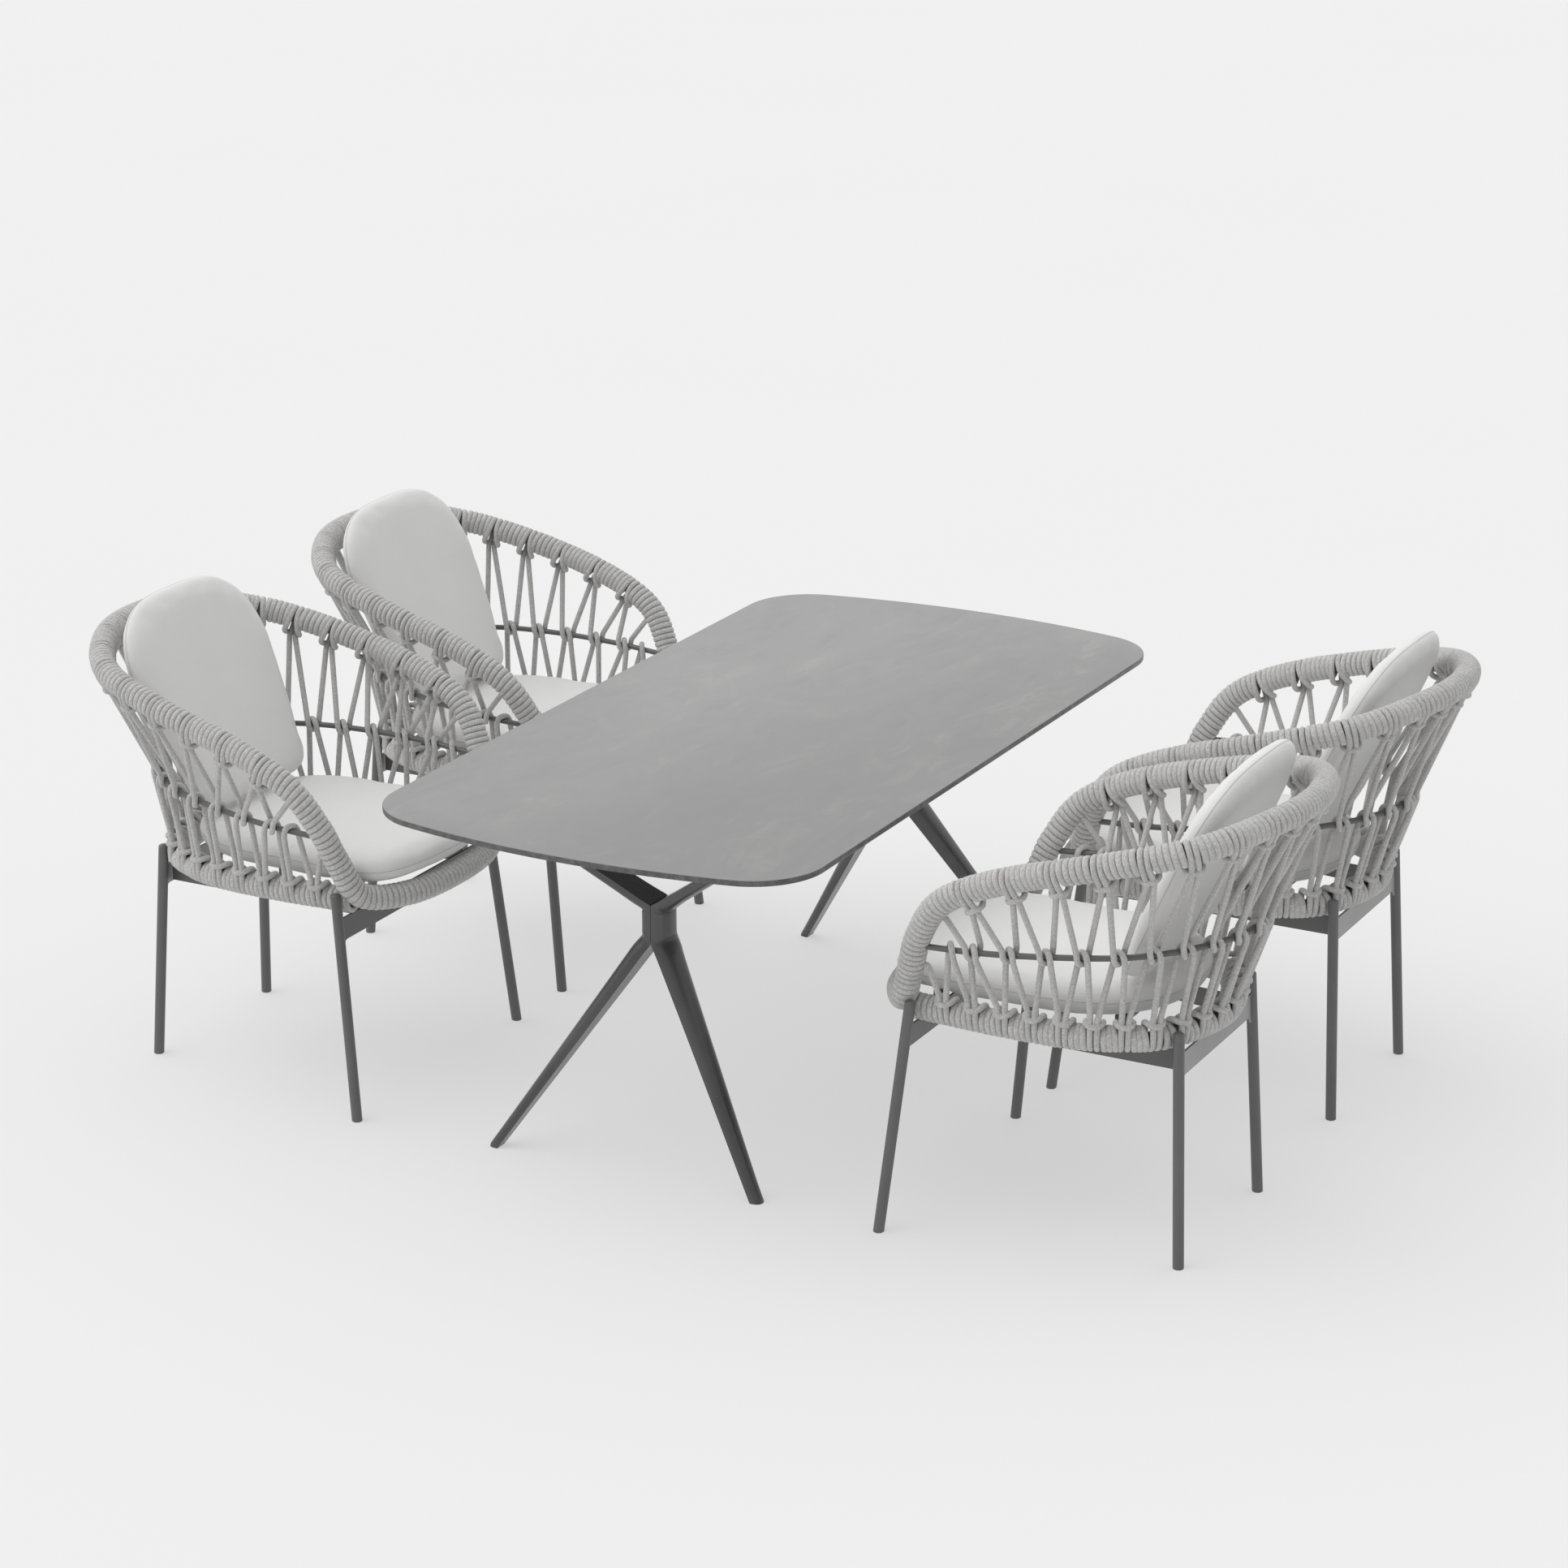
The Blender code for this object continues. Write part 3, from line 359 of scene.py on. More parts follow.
@dataclass(frozen=True)
class FloorFinish:
    """The plain pale studio floor."""

    name: str = "studio_floor"
    level: float = 0.36
    glow: float = 0.485

    def build(self) -> bpy.types.Material:
        """Returns the material, with a faint cloudiness of its own and a glow that keeps its shadows pale."""
        shading = Shading(self.name)
        drift = shading.noise(shading.coordinates("Object"), 0.5, 2.0)
        colour = shading.blend(shading.span(drift, 0.3, 0.7), grey(self.level * 0.99), grey(self.level))
        return shading.finish(Base_Color=colour, Roughness=0.8, Specular_IOR_Level=0.0,
                              Emission_Color=(1.0, 1.0, 1.0, 1.0), Emission_Strength=self.glow)


@dataclass(frozen=True)
class Finishes:
    """Every finish of the set, built once."""

    rope: bpy.types.Material
    slab: bpy.types.Material
    slab_edge: bpy.types.Material
    casting: bpy.types.Material
    coating: bpy.types.Material
    # painted light: plate is the powder coat made lighter for the rear apron, standing in for the light that
    # falls on its face
    plate: bpy.types.Material
    webbing: bpy.types.Material
    cushion: bpy.types.Material
    seam: bpy.types.Material

    @classmethod
    def build(cls) -> "Finishes":
        """Returns the finishes."""
        return cls(
            rope=RopeFinish().build(),
            slab=StoneFinish().build(),
            slab_edge=StoneFinish(name="slab_edge", edge=True, roughness=0.30).build(),
            casting=MetalFinish("cast_satin", 0.100, 0.27, 260.0, 0.10, 0.50).build(),
            coating=MetalFinish("powder_coat", 0.128, 0.36, 620.0, 0.30, 0.25).build(),
            # The plate finish is the powder coat with painted light: lighter, for the light that falls on the
            # rear apron.
            plate=MetalFinish("apron_coat_painted_light", 0.28, 0.34, 620.0, 0.20, 0.20).build(),
            webbing=ClothFinish("seat_band", 0.060, 0.035, 0.0022, 0.0006, 0.8).build(),
            cushion=ClothFinish("cushion_cloth", 0.77, 0.71, 0.0011, 0.00016, 0.30).build(),
            seam=ClothFinish("seam_cord", 0.60, 0.50, 0.0009, 0.00020, 0.5).build(),
        )


# ---------------------------------------------------------------- shapes


def unit(vector: np.ndarray) -> np.ndarray:
    """The vector, or each row of vectors, at length 1."""
    return vector / np.linalg.norm(vector, axis=-1, keepdims=True)


def cubic(rows: Sequence[np.ndarray], rest: float | np.ndarray) -> np.ndarray:
    """A Catmull-Rom step.

    Args:
        rows: four neighbouring points, of which the step runs from the second to the third.
        rest: how far between those two, in 0..1.

    Returns:
        The point, or the points.
    """
    a, b, c, d = rows
    return 0.5 * (2 * b + (c - a) * rest + (2 * a - 5 * b + 4 * c - d) * rest**2
                  + (3 * b - a - 3 * c + d) * rest**3)


def lengthened(knots: np.ndarray) -> np.ndarray:
    """The rows with one more at each end, straight on."""
    return np.vstack([2 * knots[0] - knots[1], knots, 2 * knots[-1] - knots[-2]])


class SpaceCurve:
    """A smooth curve through a few points, followed by the distance along it."""

    SAMPLES = 1600

    def __init__(self, points: Sequence[Sequence[float]], closed: bool) -> None:
        """Samples the curve.

        Args:
            points: what it runs through.
            closed: whether it returns to its start.
        """
        self.closed = closed
        knots = np.array(points, float)
        count = len(knots)
        spans = count if closed else count - 1
        shares = np.linspace(0, spans, self.SAMPLES + 1)
        span = np.minimum(shares.astype(int), spans - 1)
        rest = (shares - span)[:, None]
        if closed:
            rows = [knots[(span + step) % count] for step in (-1, 0, 1, 2)]
        else:
            longer = lengthened(knots)
            rows = [longer[span + 1 + step] for step in (-1, 0, 1, 2)]
        self.track = cubic(rows, rest)
        steps = np.linalg.norm(np.diff(self.track, axis=0), axis=1)
        self.far = np.concatenate([[0.0], np.cumsum(steps)])
        self.length = float(self.far[-1])
        ahead = np.gradient(self.track, self.far, axis=0)
        if closed:
            ahead[0] = ahead[-1] = ahead[0] + ahead[-1]
        self.ahead = unit(ahead)
        self.level = unit(np.cross(self.ahead, (0.0, 0.0, 1.0)))

    @staticmethod
    def through(rows: Sequence[Sequence[float]], steps: int) -> np.ndarray:
        """Rows of numbers eased through the given rows.

        Args:
            rows: the rows to run through.
            steps: steps from each row to the next.

        Returns:
            The eased rows, which end with the last given one.
        """
        table = np.array(rows, float)
        longer = lengthened(table)
        eased = [cubic(four, rest) for four in zip(longer, longer[1:], longer[2:], longer[3:])
                 for rest in np.arange(steps) / steps]
        return np.array([*eased, table[-1]])

    def _read(self, table: np.ndarray, at: np.ndarray) -> np.ndarray:
        """Rows of a table at distances along the curve."""
        where = np.mod(at, self.length) if self.closed else np.clip(at, 0.0, self.length)
        return np.stack([np.interp(where, self.far, table[:, axis]) for axis in range(3)], axis=-1)

    def at(self, distance: float | np.ndarray) -> np.ndarray:
        """The points at these distances.

        Args:
            distance: one distance or more. An open curve runs on straight past its ends.

        Returns:
            The point, or the points.
        """
        distance = np.asarray(distance, float)
        points = self._read(self.track, distance)
        if self.closed:
            return points
        past = distance - np.clip(distance, 0.0, self.length)
        return points + past[..., None] * self.heading(distance)

    def heading(self, distance: float | np.ndarray) -> np.ndarray:
        """The directions at these distances."""
        return unit(self._read(self.ahead, np.asarray(distance, float)))

    def across(self, distance: float | np.ndarray) -> np.ndarray:
        """The level directions square to the curve at these distances."""
        return unit(self._read(self.level, np.asarray(distance, float)))

    def outward(self, distance: float) -> np.ndarray:
        """The level direction that points away from the middle of the chair."""
        level = self.across(distance)
        return level if level.dot(self.at(distance) * np.array([1.0, 1.0, 0.0])) > 0 else -level


class Strands:
    """Gathers swept ropes and tubes into one mesh, mapped by the distance along and around each."""

    def __init__(self, name: str) -> None:
        """Starts an empty mesh.

        Args:
            name: the mesh's name.
        """
        self.name = name
        self.points: list[np.ndarray] = []
        self.faces: list[np.ndarray] = []
        self.maps: list[np.ndarray] = []
        self.count = 0

    def grid(self, points: np.ndarray, map_points: np.ndarray, closed: bool) -> None:
        """Adds a tube from rings of points.

        Args:
            points: rings x sides x 3.
            map_points: (rings + 1) x (sides + 1) x 2.
            closed: whether the last ring joins the first; otherwise the ends are capped.
        """
        rings, sides = points.shape[:2]
        last = rings if closed else rings - 1
        i, j = np.meshgrid(np.arange(last), np.arange(sides), indexing="ij")
        i, j = i.ravel(), j.ravel()
        after, beside = (i + 1) % rings, (j + 1) % sides
        quads = np.stack([i * sides + j, i * sides + beside, after * sides + beside, after * sides + j],
                         axis=1)
        corners = np.stack([map_points[i, j], map_points[i, j + 1], map_points[i + 1, j + 1],
                            map_points[i + 1, j]], axis=1)
        self.faces.append(quads + self.count)
        self.maps.append(corners.reshape(-1, 2))
        self.points.append(points.reshape(-1, 3))
        if not closed:
            for ring, reverse in ((0, True), (rings - 1, False)):
                cap = np.arange(sides) + ring * sides + self.count
                self.faces.append((cap[::-1] if reverse else cap)[None, :])
                self.maps.append(np.repeat(map_points[ring, 0][None, :], sides, axis=0))
        self.count += rings * sides

    def sweep(self, path: np.ndarray, radius: float | np.ndarray, sides: int) -> None:
        """Adds a round tube along a path, carried without twist.

        Args:
            path: points x 3.
            radius: one radius, or one for each point.
            sides: sides of its section.
        """
        ahead = unit(np.gradient(path, axis=0))
        normals = np.empty_like(path)
        normal = np.cross(ahead[0], (0.0, 0.0, 1.0))
        if np.linalg.norm(normal) < 1e-3:
            normal = np.array([1.0, 0.0, 0.0])
        for index, direction in enumerate(ahead):
            normal = normal - direction * normal.dot(direction)
            normal = normal / np.linalg.norm(normal)
            normals[index] = normal
        across = np.cross(ahead, normals)
        angles = np.arange(sides) * 2 * math.pi / sides
        radii = np.broadcast_to(np.asarray(radius, float), (len(path),))[:, None, None]
        rings = path[:, None, :] + radii * (np.cos(angles)[None, :, None] * normals[:, None, :]
                                            + np.sin(angles)[None, :, None] * across[:, None, :])
        far = np.concatenate([[0.0], np.cumsum(np.linalg.norm(np.diff(path, axis=0), axis=1))])
        far = np.append(far, far[-1])
        around = np.linspace(0, 2 * math.pi * float(np.max(radius)), sides + 1)
        self.grid(rings[:, ::-1], np.stack(np.meshgrid(far, around, indexing="ij"), axis=-1), closed=False)

    def mesh(self, material: bpy.types.Material) -> bpy.types.Mesh:
        """Finishes the mesh.

        Args:
            material: its material.

        Returns:
            The mesh, with its material and its map.
        """
        points = np.concatenate(self.points)
        faces = [face for block in self.faces for face in block.tolist()]
        maps = np.concatenate(self.maps)
        mesh = bpy.data.meshes.new(self.name)
        mesh.from_pydata(points.tolist(), [], faces)
        layer = mesh.uv_layers.new(name=UV_LAYER)
        layer.data.foreach_set("uv", maps.astype(np.float32).ravel())
        mesh.materials.append(material)
        mesh.shade_smooth()
        mesh.update()
        return mesh


def smoothed(points: np.ndarray, step: float, softness: float) -> np.ndarray:
    """A path with its corners eased, at even steps.

    Args:
        points: the corners, points x 3.
        step: distance between the points that come back.
        softness: how far along the path a corner is spread, as one standard deviation.

    Returns:
        The eased path.
    """
    far = np.concatenate([[0.0], np.cumsum(np.linalg.norm(np.diff(points, axis=0), axis=1))])
    fine_step = step / 2
    fine = np.linspace(0, far[-1], int(far[-1] / fine_step) + 1)
    path = np.stack([np.interp(fine, far, points[:, axis]) for axis in range(3)], axis=1)
    reach = int(3 * softness / fine_step)
    weights = np.exp(-0.5 * (np.arange(-reach, reach + 1) * fine_step / softness) ** 2)
    weights /= weights.sum()
    padded = np.pad(path, ((reach, reach), (0, 0)), mode="edge")
    eased = np.stack([np.convolve(padded[:, axis], weights, mode="valid") for axis in range(3)], axis=1)
    eased[0], eased[-1] = path[0], path[-1]
    return eased[::2]


def mesh_of_rings(name: str, rings: Sequence[Sequence[Sequence[float]]], sharp: float) -> bpy.types.Mesh:
    """A capped loft through rings of points.

    Args:
        name: the mesh's name.
        rings: rings of equal length, in order.
        sharp: edges that turn more than this many degrees stay crisp.

    Returns:
        The mesh.
    """
    bm = bmesh.new()
    add_rings(bm, rings)
    return mesh_of(bm, name, sharp)


def add_rings(bm: bmesh.types.BMesh, rings: Sequence[Sequence[Sequence[float]]]) -> None:
    """Adds a capped loft to a bmesh.

    Args:
        bm: the bmesh.
        rings: rings of equal length, in order.
    """
    loops = [[bm.verts.new(Vector(point)) for point in ring] for ring in rings]
    for first, second in zip(loops, loops[1:]):
        for i in range(len(first)):
            j = (i + 1) % len(first)
            bm.faces.new((first[i], first[j], second[j], second[i]))
    bm.faces.new(loops[0][::-1])
    bm.faces.new(loops[-1])


def mesh_of(bm: bmesh.types.BMesh, name: str, sharp: float) -> bpy.types.Mesh:
    """Turns a bmesh into a smooth-shaded mesh.

    Args:
        bm: the bmesh, which is freed.
        name: the mesh's name.
        sharp: edges that turn more than this many degrees stay crisp.

    Returns:
        The mesh.
    """
    bmesh.ops.recalc_face_normals(bm, faces=bm.faces)
    mesh = bpy.data.meshes.new(name)
    bm.to_mesh(mesh)
    bm.free()
    mesh.shade_smooth()
    mesh.set_sharp_from_angle(angle=math.radians(sharp))
    return mesh


def in_scene(name: str, data: bpy.types.ID) -> bpy.types.Object:
    """A new object with this data, linked into the scene."""
    obj = bpy.data.objects.new(name, data)
    bpy.context.scene.collection.objects.link(obj)
    return obj


def piece(name: str, mesh: bpy.types.Mesh, place: Matrix, body: str, slot: str, *nodes: str
          ) -> bpy.types.Object:
    """Puts a mesh in the scene as a piece of the set.

    Args:
        name: the piece's name.
        mesh: its mesh.
        place: where its own frame stands.
        body: the body it moves with.
        slot: a material slot's name, which is not used.
        nodes: the frame's nodes that it stands for.

    Returns:
        The object.
    """
    obj = in_scene(name, mesh)
    obj.matrix_world = place
    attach(obj, body)
    if nodes:
        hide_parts(*nodes)
    return obj


def redress(node: str, material: bpy.types.Material) -> None:
    """Gives a node of the frame a better material.

    Args:
        node: the node.
        material: its new material.
    """
    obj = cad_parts[node]
    if not obj.material_slots:
        obj.data.materials.append(material)
    for slot in obj.material_slots:
        slot.material = material


# ---------------------------------------------------------------- table


@dataclass
class DiningTable:
    """The slab, its hidden frame and the two cast pedestals."""

    finishes: Finishes
    bow_radius: float = 1.70
    corner_radius: float = 0.150
    corner_steps: int = 20
    bow_steps: int = 14
    arris: float = 0.0018
    arris_steps: int = 4
    knuckle_x: float = 0.532
    knuckle_top: float = 0.530
    knuckle_bottom: float = 0.450
    knuckle_half: float = 0.030
    knuckle_depth: float = 0.072
    arm_end: tuple[float, float] = (0.026, 0.052)
    foot: tuple[float, float] = (0.022, 0.030)
    arm_inset: float = 0.016
    seam_gap: float = 0.0004
    inner_power: float = 0.7
    outer_power: float = 0.8
    section_steps: int = 26
    station_steps: int = 5
    slab_sharp: float = 60.0
    casting_sharp: float = 50.0
    body: str = "table"

    def __post_init__(self) -> None:
        """Reads the slab's box, which gives the table's sizes and its middle."""
        self.low, self.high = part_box("table_top")
        self.middle_y = (self.low.y + self.high.y) / 2
        self.length = self.high.x - self.low.x
        self.width = self.high.y - self.low.y

    def outline(self, inset: float) -> list[tuple[float, float]]:
        """The slab's plan: straight long sides, bowed ends and round corners.

        Args:
            inset: how far the plan is pulled in.

        Returns:
            The plan's points, round it once.
        """
        bow, corner = self.bow_radius - inset, self.corner_radius - inset
        bow_x = self.length / 2 - self.bow_radius
        corner_y = self.width / 2 - self.corner_radius
        corner_x = bow_x + math.sqrt((self.bow_radius - self.corner_radius) ** 2 - corner_y**2)
        meet = math.atan2(corner_y, corner_x - bow_x)
        quarter = [(bow_x + bow * math.cos(a), bow * math.sin(a))
                   for a in np.linspace(0, meet, self.bow_steps)[:-1]]
        quarter += [(corner_x + corner * math.cos(a), corner_y + corner * math.sin(a))
                    for a in np.linspace(meet, math.pi / 2, self.corner_steps)]
        upper = quarter + [(-x, y) for x, y in reversed(quarter)]
        return upper + [(x, -y) for x, y in reversed(upper[1:-1])]

    def build_slab(self) -> None:
        """The slab, with eased arrises and a darker cut edge."""
        arc = np.linspace(0, math.pi / 2, self.arris_steps)
        eased = [(self.arris * (1 - math.sin(a)), self.arris * (1 - math.cos(a))) for a in arc]
        levels = [(self.low.z + rise, inset) for rise, inset in reversed(eased)]
        levels += [(self.high.z - fall, inset) for fall, inset in eased]
        rings = [[(x, y + self.middle_y, z) for x, y in self.outline(inset)] for z, inset in levels]
        mesh = mesh_of_rings("slab", rings, self.slab_sharp)
        mesh.materials.append(self.finishes.slab)
        mesh.materials.append(self.finishes.slab_edge)
        for face in mesh.polygons:
            face.material_index = 0 if abs(face.normal.z) > 0.9 else 1
        piece("slab", mesh, Matrix.Identity(4), self.body, "ceramic_top", "table_top")

    def section(self, at: np.ndarray, out: np.ndarray, width: float, depth: float) -> list[np.ndarray]:
        """A casting's section: flat on its inner side and rounded on its outer side.

        Args:
            at: the middle of its flat side.
            out: the direction from there to its round side.
            width: its size along that direction.
            depth: its size along X.

        Returns:
            The points of the section.
        """
        deep = np.array([1.0, 0.0, 0.0])
        points = []
        for angle in np.linspace(-math.pi / 2, math.pi / 2, self.section_steps):
            reach = width * abs(math.cos(angle)) ** self.inner_power
            side = 0.5 * depth * math.copysign(abs(math.sin(angle)) ** self.outer_power, math.sin(angle))
            points.append(at + out * reach + deep * side)
        return points

    def casting_mesh(self) -> bpy.types.Mesh:
        """Half a pedestal for the +X end and the +Y side, lofted through eased stations."""
        low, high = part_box("far_pedestal_left")
        foot_x = high.x - self.foot[1] / 2
        arm_x = (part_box("far_mounting_plate")[0].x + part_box("far_mounting_plate")[1].x) / 2
        reach = high.y - self.middle_y
        top = high.z
        side = np.array([0.0, 1.0, 0.0])
        face = self.seam_gap
        knuckle_high = np.array([self.knuckle_x, face, self.knuckle_top])
        knuckle_low = np.array([self.knuckle_x, face, self.knuckle_bottom])
        arm = np.array([arm_x, reach - self.foot[0] / 2 - self.arm_inset - self.arm_end[0] / 2, top])
        foot = np.array([foot_x, reach - self.foot[0], 0.0])
        arm_out = unit(np.array([0.0, top - self.knuckle_top, -arm[1]]))
        leg_out = unit(np.array([0.0, self.knuckle_bottom, foot[1]]))
        half, deep = self.knuckle_half, self.knuckle_depth

        def between(start: np.ndarray, end: np.ndarray, share: float) -> np.ndarray:
            """The point at a share of the way."""
            return start * (1 - share) + end * share

        stations = [
            (arm, side, self.arm_end[0], self.arm_end[1]),
            (between(arm, knuckle_high, 0.12), arm_out, half * 0.75, self.arm_end[1]),
            (between(arm, knuckle_high, 0.45), arm_out, half * 0.82, (self.arm_end[1] + deep) / 2),
            (between(arm, knuckle_high, 0.80), arm_out, half * 0.90, deep * 0.92),
            (between(arm, knuckle_high, 0.93), unit(arm_out * 2 + side), half * 1.02, deep * 0.98),
            (knuckle_high, unit(arm_out + side), half * 1.14, deep),
            (between(knuckle_high, knuckle_low, 0.16), unit(arm_out + side * 3), half * 1.03, deep),
            (between(knuckle_high, knuckle_low, 0.45), side, half, deep),
            (between(knuckle_high, knuckle_low, 0.78), unit(leg_out + side * 3), half * 1.02, deep),
            (knuckle_low, unit(leg_out + side), half * 1.10, deep),
            (between(knuckle_low, foot, 0.05), unit(leg_out * 2 + side), half * 1.12, deep * 0.97),
            (between(knuckle_low, foot, 0.12), leg_out, half * 1.08, deep * 0.91),
            (between(knuckle_low, foot, 0.45), leg_out, half * 0.92, deep * 0.70),
            (between(knuckle_low, foot, 0.95), leg_out, self.foot[0] * 0.95, self.foot[1] * 1.08),
            (foot, side, self.foot[0], self.foot[1]),
        ]
        rows = SpaceCurve.through([[*at, *out, width, depth] for at, out, width, depth in stations],
                                  self.station_steps)
        lowest, highest = (-FAR_OFF, face, 0.0), (FAR_OFF, FAR_OFF, top)
        rings = [np.clip(self.section(row[:3], unit(row[3:6]), row[6], row[7]), lowest, highest)
                 for row in rows]
        return mesh_of_rings("casting", rings, self.casting_sharp)

    def build_pedestals(self) -> None:
        """The four castings, mirrored from one."""
        mesh = self.casting_mesh()
        mesh.materials.append(self.finishes.casting)
        for end, x_sign in (("near", -1.0), ("far", 1.0)):
            for side, y_sign in (("left", 1.0), ("right", -1.0)):
                place = (Matrix.Translation((0.0, self.middle_y, 0.0))
                         @ Matrix.Diagonal((x_sign, y_sign, 1.0, 1.0)))
                node = f"{end}_pedestal_{side}"
                piece(f"{end}_casting_{side}", mesh, place, self.body, "cast_metal", node)

    def build(self) -> None:
        """Makes every piece of the table."""
        self.build_slab()
        LOG.info("slab %.3f x %.3f m", self.length, self.width)
        self.build_pedestals()
        LOG.info("four castings")
        for node in ("backing_frame", "near_mounting_plate", "far_mounting_plate"):
            redress(node, self.finishes.coating)
        LOG.info("frame and plates under the slab")


# ---------------------------------------------------------------- chair shell


@dataclass
class ShellLines:
    """The centre lines of a chair's shell: the hoop, the seat ring and the middle rail."""

    seat_rail_height: float = 0.452
    hoop_half_width: float = 0.332
    hoop_front: float = 0.345
    hoop_corner: tuple[float, float] = (0.250, 0.272)
    hoop_rear: float = -0.445
    hoop_rear_height: float = 0.900
    arm_height: float = 0.768
    arm_front_height: float = 0.706
    ring_half_width: float = 0.254
    ring_rear: float = -0.285
    ring_front: float = 0.235
    rail_front_height: float = 0.600
    rail_rear_height: float = 0.638
    rail_half_width: float = 0.307
    rail_rear: float = -0.350

    @staticmethod
    def whole(half: Sequence[Sequence[float]], closed: bool) -> SpaceCurve:
        """The curve through half a line at x >= 0 and its mirror image."""
        back = [(-x, y, z) for x, y, z in reversed(half)][1:]
        points = list(half) + back
        return SpaceCurve(points[:-1] if closed else points, closed)

    def hoop(self) -> SpaceCurve:
        """The closed hoop, from the middle of its front rail round the +X side."""
        corner_x, corner_y = self.hoop_corner
        rise = self.arm_front_height - self.seat_rail_height
        back = self.hoop_rear_height - self.arm_height
        wide, rear = self.hoop_half_width, self.hoop_rear
        return self.whole([
            (0.0, self.hoop_front, self.seat_rail_height),
            (corner_x * 0.60, self.hoop_front - 0.020, self.seat_rail_height),
            (corner_x, corner_y, self.seat_rail_height + rise * 0.07),
            (wide - 0.048, corner_y - 0.032, self.seat_rail_height + rise * 0.38),
            (wide - 0.026, corner_y - 0.058, self.seat_rail_height + rise * 0.67),
            (wide - 0.005, corner_y - 0.117, self.arm_front_height),
            (wide, 0.030, self.arm_height),
            (wide - 0.010, rear + 0.290, self.arm_height + back * 0.41),
            (wide - 0.062, rear + 0.125, self.arm_height + back * 0.73),
            (wide - 0.187, rear + 0.030, self.arm_height + back * 0.95),
            (0.0, rear, self.hoop_rear_height),
        ], closed=True)

    def ring(self) -> SpaceCurve:
        """The seat ring, a U open to the front, from its +X end."""
        wide, height = self.ring_half_width, self.seat_rail_height
        return self.whole([
            (wide - 0.010, self.ring_front, height), (wide, 0.080, height), (wide - 0.005, -0.069, height),
            (wide - 0.033, self.ring_rear + 0.125, height), (wide - 0.094, self.ring_rear + 0.047, height),
            (0.0, self.ring_rear, height),
        ], closed=False)

    def rail(self) -> SpaceCurve:
        """The bare middle rail, from its +X end."""
        rise = self.rail_rear_height - self.rail_front_height
        wide, low, rear = self.rail_half_width, self.rail_front_height, self.rail_rear
        return self.whole([
            (wide - 0.003, 0.207, low), (wide, 0.075, low + rise * 0.24),
            (wide - 0.021, -0.065, low + rise * 0.50), (wide - 0.068, rear + 0.154, low + rise * 0.71),
            (wide - 0.167, rear + 0.053, low + rise * 0.90), (0.0, rear, self.rail_rear_height),
        ], closed=False)


